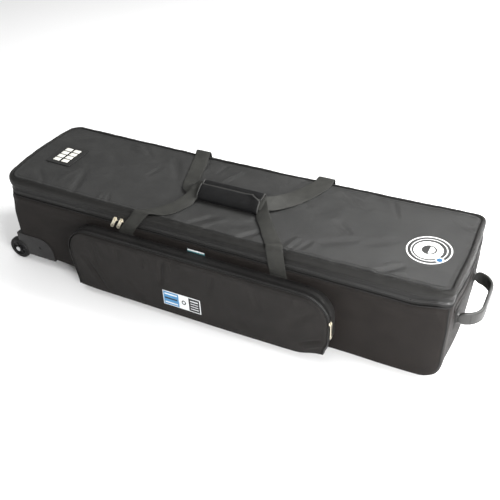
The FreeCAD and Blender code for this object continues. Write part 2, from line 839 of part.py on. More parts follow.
def wheel_housing():
    """The front housing: a square moulded corner with an arch for the wheel and a cheek for its axle."""
    y0, y1 = front_y - housing_proud, front_y + housing_depth
    block = box(housing_left, housing_right, y0, y1, 0, housing_height)
    top_corner = [edge for edge in edges_along(block, Y_AXIS)
                  if edge.CenterOfMass.x > housing_right - housing_gap
                  and edge.CenterOfMass.z > housing_height - housing_gap]
    block = block.makeFillet(housing_corner_radius, top_corner)
    w = housing_wall
    hollow = box(housing_left + w, housing_right - w, y0 + w, y1 + overrun, w, housing_height - w)
    arch_radius = wheel_diameter / 2 + arch_gap
    arch_end = cheek_outer_y
    centre = V(axle_x, y0 - overrun, wheel_axle_height)
    arch = cylinder(arch_radius, arch_end - y0 + overrun, centre, Y_AXIS)
    arch_wall = cylinder(arch_radius + w, arch_end - y0 + overrun, centre, Y_AXIS)
    corner_place = V(housing_right - housing_corner_radius, y0 + w, housing_height - housing_corner_radius)
    corner = cylinder(housing_corner_radius - w, housing_depth + 2 * overrun, corner_place, Y_AXIS)
    cut_away = box(housing_right - housing_corner_radius, housing_right, y0, y1 + 2 * overrun,
                   housing_height - housing_corner_radius, housing_height).cut(corner)
    shell = block.cut(hollow.cut(arch_wall).cut(cut_away)).cut(arch)
    cheek_end = arch_end + cheek_thickness
    cheek = cylinder(cheek_radius, cheek_thickness, V(axle_x, arch_end, wheel_axle_height), Y_AXIS)
    web_end = housing_left + wheel_diameter / 2
    web = box(axle_x, web_end, arch_end, cheek_end, 0, wheel_axle_height + cheek_radius)
    web = web.fuse(box(housing_left, web_end, arch_end, cheek_end, 0, housing_height - w))
    shell = shell.fuse(cheek).fuse(web)
    bore = cylinder(axle_diameter / 2 + housing_gap, 2 * overrun,
                    V(axle_x, arch_end - overrun, wheel_axle_height), Y_AXIS)
    rivet_hole = cylinder(rivet_shank_diameter / 2 + housing_gap, 2 * overrun,
                          V(axle_x + rivet_from_axle, y0 - overrun, rivet_height), Y_AXIS)
    return shell.cut(bore).cut(rivet_hole).removeSplitter()


def rivet():
    """A rivet's rounded head with its shank, in the front housing's plate."""
    y0 = front_y - housing_proud
    x = axle_x + rivet_from_axle
    r = rivet_diameter / 2
    head = cylinder(r, rivet_dome, V(x, y0 - rivet_dome, rivet_height), Y_AXIS)
    front_rim = min((edge for edge in head.Edges if edge.Length > r), key=lambda edge: edge.CenterOfMass.y)
    shank = cylinder(rivet_shank_diameter / 2, housing_wall, V(x, y0, rivet_height), Y_AXIS)
    return head.makeFillet(rivet_edge_radius, [front_rim]).fuse(shank)


def wheel_parts():
    """Tyre, dished hub and axle bolt of the front wheel."""
    radius = wheel_diameter / 2
    inner = radius - tyre_thickness
    start = V(axle_x, wheel_outer_y, wheel_axle_height)
    tyre = cylinder(radius, wheel_width, start, Y_AXIS)
    rims = [edge for edge in tyre.Edges if edge.Length > radius and abs(edge.BoundBox.YLength) < housing_gap]
    tyre = tyre.makeFillet(tyre_thickness / 2, rims)
    tyre = tyre.cut(cylinder(inner, wheel_width + 2 * overrun, start - Y_AXIS * overrun, Y_AXIS))
    rim_outer, rim_inner = inner - hub_fit, inner - hub_fit - hub_rim_thickness
    rim = cylinder(rim_outer, wheel_width, start, Y_AXIS).cut(
        cylinder(rim_inner, wheel_width + 2 * overrun, start - Y_AXIS * overrun, Y_AXIS))
    web_start = start + Y_AXIS * ((wheel_width - hub_web) / 2)
    web = cylinder(inner - hub_fit, hub_web, web_start, Y_AXIS)
    boss = cylinder(hub_boss_diameter / 2, wheel_width, start, Y_AXIS)
    hub = rim.fuse(web).fuse(boss).cut(
        cylinder(axle_diameter / 2 + axle_fit, wheel_width + 2 * overrun, start - Y_AXIS * overrun, Y_AXIS))
    head_y = wheel_outer_y - wheel_side_gap - axle_head_thickness
    head = cylinder(axle_head_diameter / 2, axle_head_thickness, V(axle_x, head_y, wheel_axle_height), Y_AXIS)
    shaft_length = cheek_outer_y + cheek_thickness + axle_head_thickness - head_y
    shaft = cylinder(axle_diameter / 2, shaft_length, V(axle_x, head_y, wheel_axle_height), Y_AXIS)
    nut_y = cheek_outer_y + cheek_thickness
    nut = cylinder(axle_head_diameter / 2, axle_head_thickness, V(axle_x, nut_y, wheel_axle_height), Y_AXIS)
    return tyre, hub.removeSplitter(), head.fuse(shaft).fuse(nut).removeSplitter()


def wheels():
    housing, pin = wheel_housing(), rivet()
    tyre, hub, axle = wheel_parts()
    save("wheel_housing_front", housing)
    save("wheel_housing_rear", mirror_y(housing))
    save("housing_rivets", group([pin, mirror_y(pin)]))
    save("axle_bolts", group([axle, mirror_y(axle)]))
    for name, shape in (("tyre", tyre), ("hub", hub)):
        save(name + "_front", shape)
        save(name + "_rear", mirror_y(shape))


def foot_section(length, width, z):
    """A rectangle with round corners, as a wire, centred on the Z axis."""
    solid = box(-length / 2, length / 2, -width / 2, width / 2, z, z + overrun)
    rounded = solid.makeFillet(foot_corner_radius, edges_along(solid, Z_AXIS))
    low = min(rounded.Faces, key=lambda face: face.CenterOfMass.z)
    return low.OuterWire


def feet():
    feet_made = []
    for sign in (-1, 1):
        top = foot_section(foot_length, foot_width, 0)
        bottom = foot_section(foot_length - 2 * foot_taper, foot_width - 2 * foot_taper, ground)
        foot = Part.makeLoft([bottom, top], True, True)
        foot.translate(V(foot_x, sign * foot_y, 0))
        feet_made.append(foot)
    save("end_feet", group(feet_made))


def inner_straps():
    """Two hold-down straps over the floor and up the walls, each through a buckle."""
    straps, buckles = [], []
    inner_y = half_width - inner_face
    gap = webbing_gap
    for sign in (-1, 1):
        x = sign * strap_spacing / 2
        x0, x1 = x - strap_width / 2, x + strap_width / 2
        y1 = inner_y - gap
        z0 = floor_top + gap
        strap = box(x0, x1, -y1, y1, z0, z0 + strap_thickness)
        for side in (-1, 1):
            ya, yb = sorted((side * y1, side * (y1 - strap_thickness)))
            strap = strap.fuse(box(x0, x1, ya, yb, z0, z0 + strap_rise))
        straps.append(strap.removeSplitter())
        block = box(x - buckle_width / 2, x + buckle_width / 2, -buckle_length / 2, buckle_length / 2,
                    z0, z0 + buckle_height)
        opening = box(x0 - gap, x1 + gap, -half_width, half_width, z0 - overrun, z0 + buckle_slot)
        buckles.append(block.cut(opening))
    save("inner_straps", group(straps))
    save("inner_buckles", group(buckles))


def main():
    os.makedirs("parts", exist_ok=True)
    body_walls()
    body_pads()
    body_lining()
    body_piping()
    zip_halves()
    lid()
    lid_badges()
    carry_handles()
    pocket()
    labels()
    sliders()
    tow_handle()
    wheels()
    feet()
    inner_straps()


main()
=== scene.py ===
import functools
import json
import math

import bpy
from mathutils import Matrix, Vector, noise

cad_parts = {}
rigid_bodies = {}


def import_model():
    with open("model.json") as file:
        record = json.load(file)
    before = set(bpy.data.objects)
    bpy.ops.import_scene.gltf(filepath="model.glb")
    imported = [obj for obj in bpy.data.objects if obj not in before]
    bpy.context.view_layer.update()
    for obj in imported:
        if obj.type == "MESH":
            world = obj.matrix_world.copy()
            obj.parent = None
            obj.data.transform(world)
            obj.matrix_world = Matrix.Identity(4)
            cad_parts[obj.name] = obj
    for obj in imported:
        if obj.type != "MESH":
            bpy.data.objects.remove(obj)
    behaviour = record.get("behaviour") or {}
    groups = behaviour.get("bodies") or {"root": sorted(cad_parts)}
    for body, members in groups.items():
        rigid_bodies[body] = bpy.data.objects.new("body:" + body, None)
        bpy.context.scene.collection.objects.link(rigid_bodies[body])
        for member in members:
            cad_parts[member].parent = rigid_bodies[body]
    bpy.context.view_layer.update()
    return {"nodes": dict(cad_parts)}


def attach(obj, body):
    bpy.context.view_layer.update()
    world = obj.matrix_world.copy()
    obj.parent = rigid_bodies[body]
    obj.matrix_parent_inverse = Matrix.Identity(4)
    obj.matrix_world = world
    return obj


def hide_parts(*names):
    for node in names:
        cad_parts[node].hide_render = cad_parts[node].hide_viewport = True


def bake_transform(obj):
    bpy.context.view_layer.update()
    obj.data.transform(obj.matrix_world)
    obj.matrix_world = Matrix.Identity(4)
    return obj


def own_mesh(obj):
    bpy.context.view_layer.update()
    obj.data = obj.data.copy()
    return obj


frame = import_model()

# A long soft case for drum stands. Metres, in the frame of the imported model: X runs from the
# wheels to the tow handle, Y from the pocket to the back, Z up from the flat underside.

# Sizes of the case
half_length, half_width = 0.694, 0.178
end_radius, corner_radius, low_corner_radius = 0.9, 0.045, 0.014
square_top = 0.150
end_roll, wheel_end_roll, hem_roll = 0.060, 0.014, 0.012
welt_height, zip_height, lid_foot = 0.230, 0.245, 0.2605
lid_end_height, lid_sag = 0.290, 0.008
seam_inset = 0.011
cloth = 0.0012
end_centre_x = half_length - end_radius
front_y, rear_y = -half_width, half_width
around = ("front", "right", "rear", "left")

# The zip's halves: how far each tape and coil stays from the zip's middle line
tape_gap, tape_hem = 0.0007, 0.001
coil_gap, coil_wide = 0.0003, 0.0032

# Sizes of the pocket
pocket_left, pocket_right = -0.435, 0.400
pocket_top, pocket_front, pocket_radius = 0.200, -0.228, 0.080
pocket_fold, pocket_split = 0.118, -0.218

# Sizes of the carry handle
webbing = 0.050
anchor_low, anchor_top = 0.189, 0.207
wrap_left, wrap_right, wrap_lean = -0.074, 0.118, math.radians(32)
wrap_centre = Vector((0.022, -0.028, 0.3053))


def clean_selection():
    if bpy.context.object and bpy.context.object.mode != "OBJECT":
        bpy.ops.object.mode_set(mode="OBJECT")
    bpy.ops.object.select_all(action="DESELECT")


def make_active(piece):
    clean_selection()
    piece.select_set(True)
    bpy.context.view_layer.objects.active = piece


def smooth_step(low, high, value):
    t = min(max((value - low) / (high - low), 0), 1)
    return t * t * (3 - 2 * t)


def lump(point, size, seed=0):
    """Soft noise between about -1 and 1, with lumps of this size."""
    return noise.noise(Vector(point) / size + Vector((seed * 7.3, seed * 3.1, seed * 5.7)))


def finish_with(piece, kind, **settings):
    """Add a modifier and apply it."""
    make_active(piece)
    modifier = piece.modifiers.new(kind.lower(), kind)
    for key, value in settings.items():
        setattr(modifier, key, value)
    bpy.ops.object.modifier_apply(modifier=modifier.name)


def edit_all(piece, *steps):
    """Run mesh operators on the whole piece in edit mode."""
    make_active(piece)
    bpy.ops.object.mode_set(mode="EDIT")
    bpy.ops.mesh.select_all(action="SELECT")
    for step in steps:
        step()
    bpy.ops.object.mode_set(mode="OBJECT")


def merge_doubles(distance=0.00002):
    return functools.partial(bpy.ops.mesh.remove_doubles, threshold=distance)


def outward():
    return functools.partial(bpy.ops.mesh.normals_make_consistent, inside=False)


def fill_holes():
    return functools.partial(bpy.ops.mesh.fill_holes, sides=0)


def join(name, pieces):
    """Make one piece of several."""
    clean_selection()
    for piece in pieces:
        piece.select_set(True)
    bpy.context.view_layer.objects.active = pieces[0]
    if len(pieces) > 1:
        bpy.ops.object.join()
    pieces[0].name = name
    return pieces[0]


def dress(piece, body, finish, slot, *nodes, angle=None):
    """Give a piece its finish, its shading and its body, and hide the nodes that it stands for. The slot is
    not used.
    """
    if finish:
        piece.data.materials.clear()
        piece.data.materials.append(finish)
    make_active(piece)
    if angle:
        bpy.ops.object.shade_smooth_by_angle(angle=math.radians(angle))
    else:
        bpy.ops.object.shade_smooth()
    if body:
        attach(piece, body)
    if nodes:
        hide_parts(*nodes)
    return piece


def added(name, data):
    """A new object in the scene."""
    thing = bpy.data.objects.new(name, data)
    bpy.context.collection.objects.link(thing)
    return thing


def box(name, centre, size):
    """A plain block."""
    clean_selection()
    bpy.ops.mesh.primitive_cube_add(size=1)
    piece = bpy.context.object
    piece.name = name
    for vertex in piece.data.vertices:
        vertex.co = [middle + value * long for middle, value, long in zip(centre, vertex.co, size)]
    return piece


def round_shoulder(block, radius, segments):
    """Round off the block's upper edge that faces the tow handle."""
    corners = [vertex.co for vertex in block.data.vertices]
    right, top = max(corner.x for corner in corners) - 0.001, max(corner.z for corner in corners) - 0.001
    edit_all(block, functools.partial(bpy.ops.mesh.select_all, action="DESELECT"))
    for edge in block.data.edges:
        a, b = (block.data.vertices[index].co for index in edge.vertices)
        edge.select = min(a.x, b.x) > right and min(a.z, b.z) > top
    bpy.ops.object.mode_set(mode="EDIT")
    bpy.ops.mesh.select_mode(type="EDGE")
    bpy.ops.mesh.bevel(offset=radius, segments=segments, affect="EDGES")
    bpy.ops.object.mode_set(mode="OBJECT")


def sheet(name, columns, rows, size, place):
    """A cloth sheet: a flat grid whose points move to place(u, v), with its UV map in metres."""
    clean_selection()
    bpy.ops.mesh.primitive_grid_add(x_subdivisions=columns, y_subdivisions=rows, size=1)
    piece = bpy.context.object
    piece.name = name
    mesh = piece.data
    flat = [(vertex.co.x + 0.5, vertex.co.y + 0.5) for vertex in mesh.vertices]
    for vertex, (u, v) in zip(mesh.vertices, flat):
        vertex.co = place(min(max(u, 0), 1), min(max(v, 0), 1))
    layer = mesh.uv_layers[0].data
    for loop in mesh.loops:
        u, v = flat[loop.vertex_index]
        layer[loop.index].uv = (u * size[0], v * size[1])
    return piece


def turn_weave(piece):
    """Turn the piece's UV map by a quarter, so that its ribs run along it."""
    layer = piece.data.uv_layers[0].data
    for loop in piece.data.loops:
        along, across = layer[loop.index].uv
        layer[loop.index].uv = (across, along)


def measured(points):
    """Points with the length that each has come from the first."""
    marks = [0]
    for a, b in zip(points, points[1:]):
        marks.append(marks[-1] + (b - a).length)
    return points, marks


def walk(track, share):
    """The point at a share of a measured track's length."""
    points, marks = track
    goal = share * marks[-1]
    low, high = 0, len(marks) - 1
    while high - low > 1:
        middle = (low + high) // 2
        if marks[middle] <= goal:
            low = middle
        else:
            high = middle
    span = marks[high] - marks[low]
    t = (goal - marks[low]) / span if span else 0
    return points[low].lerp(points[high], t)


def heading(track, share, step=0.002):
    """The unit direction of a track at a share of its length."""
    return (walk(track, min(share + step, 1)) - walk(track, max(share - step, 0))).normalized()


def curved(points, steps=12):
    """A smooth curve through given points."""
    result = []
    padded = [points[0] * 2 - points[1]] + list(points) + [points[-1] * 2 - points[-2]]
    for a, b, c, d in zip(padded, padded[1:], padded[2:], padded[3:]):
        for index in range(steps):
            t = index / steps
            result.append(0.5 * ((2 * b) + (c - a) * t + (2 * a - 5 * b + 4 * c - d) * t ** 2
                                 + (3 * b - a - 3 * c + d) * t ** 3))
    result.append(points[-1])
    return result


def arc(centre_x, centre_y, radius, start, finish, steps=16):
    """Plan points on an arc, from one angle to another."""
    return [Vector((centre_x + radius * math.cos(a), centre_y + radius * math.sin(a), 0))
            for a in (start + (finish - start) * i / steps for i in range(steps + 1))]


def corner_centre(radius):
    y = half_width - radius
    return end_centre_x + math.sqrt((end_radius - radius) ** 2 - y ** 2), y


mitre_offset = corner_centre(low_corner_radius)[0] - corner_centre(low_corner_radius)[1]


def mitre_angle(radius):
    """Where on a round corner the corner seam lies."""
    x, y = corner_centre(radius)
    aside = mitre_offset - x + y
    step = (math.sqrt(2 * radius ** 2 - aside ** 2) - aside) / 2
    return math.atan2(step, step + aside)


@functools.lru_cache(maxsize=None)
def wall_track(side, radius, inset):
    """One wall seen from above, from seam to seam, anticlockwise."""
    x, y = corner_centre(radius)
    turn = math.atan2(y, x - end_centre_x)
    seam, quarter = mitre_angle(radius), math.pi / 2
    r = radius - inset
    if side == "front":
        points = arc(-x, -y, r, math.pi + seam, 3 * quarter) + arc(x, -y, r, -quarter, -seam)
    elif side == "rear":
        points = arc(x, y, r, seam, quarter) + arc(-x, y, r, quarter, math.pi - seam)
    elif side == "right":
        bow = arc(end_centre_x, 0, end_radius - inset, -turn, turn, 24)
        points = arc(x, -y, r, -seam, -turn)[:-1] + bow + arc(x, y, r, turn, seam)[1:]
    else:
        bow = arc(-end_centre_x, 0, end_radius - inset, math.pi - turn, math.pi + turn, 24)
        points = arc(-x, y, r, math.pi - seam, math.pi - turn)[:-1] + bow
        points += arc(-x, -y, r, math.pi + turn, math.pi + seam)[1:]
    return measured(points)


def wall_point(side, u, radius, inset):
    """A point of a wall seen from above, and the direction out of the wall there."""
    track = wall_track(side, round(radius, 5), round(inset, 5))
    along = heading(track, u)
    return walk(track, u), Vector((along.y, -along.x, 0))


def end_shift(x, z):
    """How far the rolled lower edge of each end draws in at a height."""
    roll = end_roll if x > 0 else wheel_end_roll
    if z >= roll:
        return 0
    drawn = roll - math.sqrt(max(roll ** 2 - (roll - z) ** 2, 0))
    return -math.copysign(drawn * smooth_step(0.42, 0.62, abs(x)), x)


def lid_height(x):
    """The lid's sagging top."""
    return lid_end_height - lid_sag + lid_sag * (x / half_length) ** 2


def zip_wave(point):
    """The zip's wavy line: strong on the right end, slight elsewhere, none by the sliders."""
    x, y = point.x, point.y
    end = smooth_step(0.60, 0.69, x)
    calm = 1 - smooth_step(-0.33, -0.29, x) * (1 - smooth_step(-0.24, -0.20, x))
    along = 0.0024 * end * math.sin(y / 0.0125 + 1.2 * math.sin(y / 0.05))
    return calm * (along + 0.0016 * lump((x, y, 0), 0.085, 3))


wall_profile = measured(
    [Vector((hem_roll - hem_roll * math.sin(a), hem_roll - hem_roll * math.cos(a), 0))
     for a in (math.pi / 2 * i / 6 for i in range(7))]
    + [Vector((0, 0.180, 0)), Vector((-0.0014, 0.205, 0)), Vector((-0.0030, 0.2170, 0)),
       Vector((-0.0030, 0.2225, 0)), Vector((-0.0016, 0.2275, 0)), Vector((0.0008, 0.2300, 0))])


def wall_radius(z):
    """The corner's radius at a height: square below, rounder towards the zip."""
    return low_corner_radius + (corner_radius - low_corner_radius) * smooth_step(square_top, welt_height, z)


def wall_swell(side, point):
    """How far a padded wall stands out from its flat place."""
    x, y, z = point
    calm = 1 - 0.75 * smooth_step(0.196, 0.204, z) if side == "front" else 1
    folds = lump((x * 0.35, y * 0.35, z), 0.045, 2) * 0.0012
    swell = 0.0012 * lump((x, y, z), 0.30, 1) + 0.0005 * lump((x, y, z), 0.09, 4)
    crown = 0.0016 * math.sin(math.pi * min(max(z / 0.21, 0), 1)) if side != "front" else 0.0006
    return calm * (swell + folds) + crown


def wall_place(side):
    """Moves a flat sheet to one padded wall: from its hem, v = 0, up to the welt."""
    def place(u, v):
        level = walk(wall_profile, v)
        point, normal = wall_point(side, u, wall_radius(level.y), level.x)
        point.z = level.y
        edge = smooth_step(0, 0.03, u) * smooth_step(0, 0.03, 1 - u) * smooth_step(0, 0.05, v)
        point += normal * wall_swell(side, point) * edge
        point.x += end_shift(point.x, level.y)
        point.z += zip_wave(point) * smooth_step(0.205, 0.228, level.y)
        return point
    return place


# Materials

def material(name):
    """A new node material, with a helper that adds nodes and one that feeds its shader."""
    made = bpy.data.materials.new(name)
    made.use_nodes = True
    nodes, links = made.node_tree.nodes, made.node_tree.links

    def feed(inputs, node=nodes["Principled BSDF"]):
        for key, value in inputs.items():
            if isinstance(value, bpy.types.NodeSocket):
                links.new(value, node.inputs[key])
            else:
                node.inputs[key].default_value = value

    def add(kind, inputs, output=0, **settings):
        node = nodes.new("ShaderNode" + kind)
        for key, value in settings.items():
            setattr(node, key, value)
        feed(inputs, node)
        return node.outputs[output]
    return made, add, feed


def maths(add, operation, *values):
    """A node that works out one sum."""
    return add("Math", dict(enumerate(values)), operation=operation)


def wave(add, axis, pitch):
    """A sine wave along one axis of the UV map: half a turn in each pitch."""
    run = add("SeparateXYZ", {"Vector": add("TexCoord", {}, "UV")}, axis)
    return maths(add, "SINE", maths(add, "MULTIPLY", run, math.pi / pitch))


def relief(add, feed, height, strength, depth):
    """Bumps of this height map, in metres of depth."""
    feed({"Normal": add("Bump", {"Height": height, "Strength": strength, "Distance": depth})})


def patchy(add, feed, spread, low, high):
    """Roughness that drifts from low to high with a noise texture."""
    feed({"Roughness": add("MapRange", {0: spread, 1: 0.3, 2: 0.7, 3: low, 4: high})})


def uneven_colour(add, feed, colour, size, low, high):
    """Colour that drifts a little between darker and lighter over the surface."""
    place = add("TexCoord", {}, "Object")
    clouds = add("TexNoise", {"Vector": place, "Scale": 1 / size, "Detail": 4.0, "Roughness": 0.6})
    ramp = add("ValToRGB", {"Fac": clouds})
    for element, position, share in zip(ramp.node.color_ramp.elements, (0.3, 0.7), (low, high)):
        element.position = position
        element.color = (*(channel * share for channel in colour), 1)
    feed({"Base Color": ramp})


def woven(name, colour, yarn, depth, roughness, specular=0.3):
    """Plain-woven cloth: warp and weft pass over each other on the piece's own UV map."""
    made, add, feed = material(name)
    crossing = maths(add, "MULTIPLY", wave(add, "X", yarn), wave(add, "Y", yarn))
    nubs = add("TexNoise", {"Vector": add("TexCoord", {}, "UV"), "Scale": 0.5 / yarn, "Detail": 2.0})
    height = maths(add, "MULTIPLY_ADD", nubs, 0.6, maths(add, "ABSOLUTE", crossing))
    relief(add, feed, height, 0.6, depth)
    uneven_colour(add, feed, colour, 0.06, 0.82, 1.15)
    feed({"Roughness": roughness, "Specular IOR Level": specular})
    return made


def ribbed(name, colour, pitch, depth, roughness, specular):
    """Webbing or tape: ribs along the piece, with the small cross threads between them."""
    made, add, feed = material(name)
    rib = maths(add, "ABSOLUTE", wave(add, "X", pitch))
    relief(add, feed, maths(add, "MULTIPLY_ADD", wave(add, "Y", pitch / 2), 0.25, rib), 0.7, depth)
    uneven_colour(add, feed, colour, 0.02, 0.8, 1.2)
    feed({"Roughness": roughness, "Specular IOR Level": specular})
    return made


def moulded(name, colour, grain, depth, roughness, specular=0.45, low=0.9, high=1.1):
    """Moulded plastic or rubber with a fine grain, rubbed smoother in patches."""
    made, add, feed = material(name)
    place = add("TexCoord", {}, "Object")
    relief(add, feed, add("TexNoise", {"Vector": place, "Scale": 1 / grain, "Detail": 3.0}), 0.5, depth)
    uneven_colour(add, feed, colour, 0.03, low, high)
    rubbed = add("TexNoise", {"Vector": place, "Scale": 40.0, "Detail": 5.0})
    patchy(add, feed, rubbed, roughness - 0.08, roughness + 0.08)
    feed({"Specular IOR Level": specular})
    return made


def metal(name, colour, roughness):
    """Plated metal with fine scratches."""
    made, add, feed = material(name)
    stretched = add("Mapping", {"Vector": add("TexCoord", {}, "Object"), "Scale": (900, 900, 120)})
    scratches = add("TexNoise", {"Vector": stretched, "Scale": 1.0, "Detail": 3.0})
    patchy(add, feed, scratches, roughness - 0.07, roughness + 0.1)
    relief(add, feed, scratches, 0.2, 0.00005)
    uneven_colour(add, feed, colour, 0.01, 0.88, 1.05)
    feed({"Metallic": 1.0})
    return made


shell_cloth = woven("shell cloth", (0.0105, 0.0088, 0.0079), 0.0009, 0.0004, 0.60, 0.10)
lid_cloth = woven("lid cloth", (0.0200, 0.0200, 0.0193), 0.0009, 0.0004, 0.45, 0.22)
pocket_cloth = woven("pocket cloth", (0.0120, 0.0108, 0.0100), 0.0009, 0.0004, 0.58, 0.12)
rim_cloth = woven("rim cloth", (0.0105, 0.0102, 0.0094), 0.0009, 0.0004, 0.50, 0.16)
# The gusset's cloth is the pocket's cloth with a lighter base colour, a painted highlight for the key light
# on the gusset's top, and more gloss as well.
lit_gusset_cloth = woven("gusset cloth painted lighter", (0.0150, 0.0145, 0.0140), 0.0009, 0.0004, 0.42, 0.30)
grip_cloth = woven("grip cloth", (0.0060, 0.0060, 0.0062), 0.0011, 0.0005, 0.60, 0.10)
patch_cloth = woven("patch cloth", (0.0100, 0.0095, 0.0090), 0.0012, 0.0005, 0.70, 0.12)
lining_cloth = woven("lining cloth", (0.045, 0.046, 0.050), 0.0006, 0.0002, 0.6)
piping_cloth = moulded("piping cloth", (0.0075, 0.0073, 0.0071), 0.0012, 0.0003, 0.55, 0.15)
grip_piping = moulded("grip piping", (0.0300, 0.0300, 0.0285), 0.0012, 0.0003, 0.55, 0.20)
web_cloth = ribbed("webbing", (0.0230, 0.0230, 0.0208), 0.0032, 0.0006, 0.60, 0.15)
band_cloth = ribbed("end band cloth", (0.0125, 0.0112, 0.0102), 0.0032, 0.0005, 0.62, 0.12)
tape_cloth = ribbed("zip tape", (0.0075, 0.0073, 0.0070), 0.0011, 0.0003, 0.50, 0.25)
strap_cloth = ribbed("strap webbing", (0.012, 0.012, 0.0125), 0.0028, 0.0005, 0.60, 0.15)
coil_nylon = moulded("coil nylon", (0.0120, 0.0118, 0.0112), 0.0008, 0.0001, 0.34, 0.50)
thread = moulded("sewing thread", (0.0110, 0.0108, 0.0104), 0.0005, 0.0001, 0.6, 0.15)
housing_plastic = moulded("housing plastic", (0.0150, 0.0145, 0.0145), 0.0006, 0.0002, 0.45, 0.20)
tyre_rubber = moulded("tyre rubber", (0.0070, 0.0070, 0.0072), 0.0010, 0.0002, 0.60, 0.20)
hub_plastic = moulded("hub plastic", (0.0060, 0.0060, 0.0063), 0.0007, 0.0001, 0.40, 0.25)
tow_rubber = moulded("tow rubber", (0.0240, 0.0240, 0.0228), 0.0009, 0.0002, 0.42, 0.30)
foot_plastic = moulded("foot plastic", (0.015, 0.015, 0.015), 0.0008, 0.0002, 0.5)
buckle_plastic = moulded("buckle plastic", (0.014, 0.014, 0.015), 0.0008, 0.0001, 0.35)
plate_plastic = moulded("plate plastic", (0.0120, 0.0120, 0.0115), 0.0008, 0.0001, 0.4, 0.25)
board_plastic = moulded("board", (0.20, 0.17, 0.13), 0.0010, 0.0002, 0.7)
cell_white = moulded("cell white", (0.60, 0.59, 0.54), 0.0010, 0.0001, 0.45, low=0.96, high=1.0)
emblem_light = moulded("emblem light", (0.62, 0.62, 0.61), 0.0010, 0.0001, 0.5)
emblem_blue = moulded("emblem blue", (0.014, 0.085, 0.190), 0.0010, 0.0001, 0.5)
emblem_dark = moulded("emblem dark", (0.020, 0.020, 0.0195), 0.0010, 0.0001, 0.5)
label_blue = woven("label blue", (0.055, 0.200, 0.380), 0.0005, 0.0002, 0.5)
label_white = woven("label white", (0.60, 0.62, 0.63), 0.0005, 0.0002, 0.5)
label_black = woven("label black", (0.008, 0.008, 0.009), 0.0005, 0.0002, 0.5)
label_teal = woven("label teal", (0.060, 0.180, 0.200), 0.0005, 0.0002, 0.5)
pull_metal = metal("plated pull", (0.80, 0.74, 0.60), 0.42)
zinc = metal("zinc", (0.60, 0.61, 0.62), 0.32)


# The body's cloth walls

def housing_cutter(name):
    """The rounded blocks that the two wheel housings fill, to cut them out of the cloth."""
    blocks = [box(name, (-0.6325, sign * 0.151, 0.0192), (0.156, 0.071, 0.119)) for sign in (-1, 1)]
    for block in blocks:
        round_shoulder(block, 0.0503, 12)
    return join(name, blocks)


def cut_out(piece, cutter):
    finish_with(piece, "BOOLEAN", object=cutter, operation="DIFFERENCE", solver="EXACT")


def thicken(piece, thickness=cloth, offset=-1):
    finish_with(piece, "SOLIDIFY", thickness=thickness, offset=offset, use_even_offset=True)


cutter = housing_cutter("housing cutter")
for side, columns, rows, length, node in (
        ("front", 330, 60, 1.41, "front_panel"), ("right", 96, 60, 0.36, "right_end_panel"),
        ("rear", 250, 50, 1.41, "rear_panel"), ("left", 84, 50, 0.36, "left_end_panel")):
    wall = sheet("wall_" + side, columns, rows, (length, 0.234), wall_place(side))
    thicken(wall)
    if side != "right":
        cut_out(wall, cutter)
    dress(wall, "case", shell_cloth, "shell_cloth", node, angle=50)


def coons(front, right, rear, left, u, v):
    """A point of the patch stretched between four edge tracks, all run anticlockwise."""
    low, high = walk(front, u), walk(rear, 1 - u)
    near, far = walk(left, 1 - v), walk(right, v)
    corners = (walk(front, 0) * (1 - u) * (1 - v) + walk(front, 1) * u * (1 - v)
               + walk(rear, 1) * (1 - u) * v + walk(rear, 0) * u * v)
    return low * (1 - v) + high * v + near * (1 - u) + far * u - corners


def plan_patch(radius, inset, height=1.0):
    """Moves a flat sheet to the inside of the case's outline at a height, seen from above."""
    tracks = []
    for side in around:
        points = [walk(wall_track(side, radius, inset), index / 120) for index in range(121)]
        for point in points:
            point.x += end_shift(point.x, height)
        tracks.append(measured(points))
    return lambda u, v: coons(*tracks, u, v)


base = sheet("underside", 160, 40, (1.30, 0.33), plan_patch(low_corner_radius, hem_roll, 0))
finish_with(base, "SOLIDIFY", thickness=cloth, offset=1)
cut_out(base, cutter)
dress(base, "case", shell_cloth, "shell_cloth", "base_panel", angle=50)


# Small makers for trim

def curve_piece(name, lines, closed, **settings):
    """A mesh made from a curve through lists of points."""
    data = bpy.data.curves.new(name, "CURVE")
    for key, value in settings.items():
        setattr(data, key, value)
    for line in lines:
        spline = data.splines.new("POLY")
        spline.points.add(len(line) - 1)
        for spot, point in zip(spline.points, line):
            spot.co = (*Vector(point).to_3d(), 1)
        spline.use_cyclic_u = closed
    make_active(added(name, data))
    bpy.ops.object.convert(target="MESH")
    return bpy.context.object


def bead(name, points, radius, closed=False):
    """A round cord of piping through points."""
    return curve_piece(name, [points], closed, dimensions="3D", bevel_depth=radius, bevel_resolution=3,
                       use_fill_caps=True)


def plate(name, outlines, thickness, edge, place):
    """A flat plate with holes and softened edges, cut from outlines and moved to its place."""
    piece = curve_piece(name, outlines, True, dimensions="2D", fill_mode="BOTH", extrude=thickness / 2 - edge,
                        bevel_depth=edge, bevel_resolution=2, offset=-edge)
    piece.data.transform(place)
    edit_all(piece, merge_doubles(0.00001), outward())
    return piece


def rounded_outline(width, height, radius, steps=6):
    """A rectangle with round corners about the origin, as (x, y) points."""
    points = []
    for sx, sy, first in ((1, 1, 0), (-1, 1, 1), (-1, -1, 2), (1, -1, 3)):
        for index in range(steps + 1):
            angle = (first + index / steps) * math.pi / 2
            points.append((sx * (width / 2 - radius) + radius * math.cos(angle),
                           sy * (height / 2 - radius) + radius * math.sin(angle)))
    return points


@functools.lru_cache(maxsize=None)
def stitch_shape():
    """One sewn stitch, 1 long and 1 wide along X and Y, standing on Z = 0."""
    clean_selection()
    bpy.ops.mesh.primitive_uv_sphere_add(segments=6, ring_count=4, radius=0.5)
    model = bpy.context.object
    corners = [(v.co.z, v.co.y, v.co.x * 0.6) for v in model.data.vertices]
    faces = [tuple(p.vertices) for p in model.data.polygons]
    bpy.data.objects.remove(model)
    return corners, faces


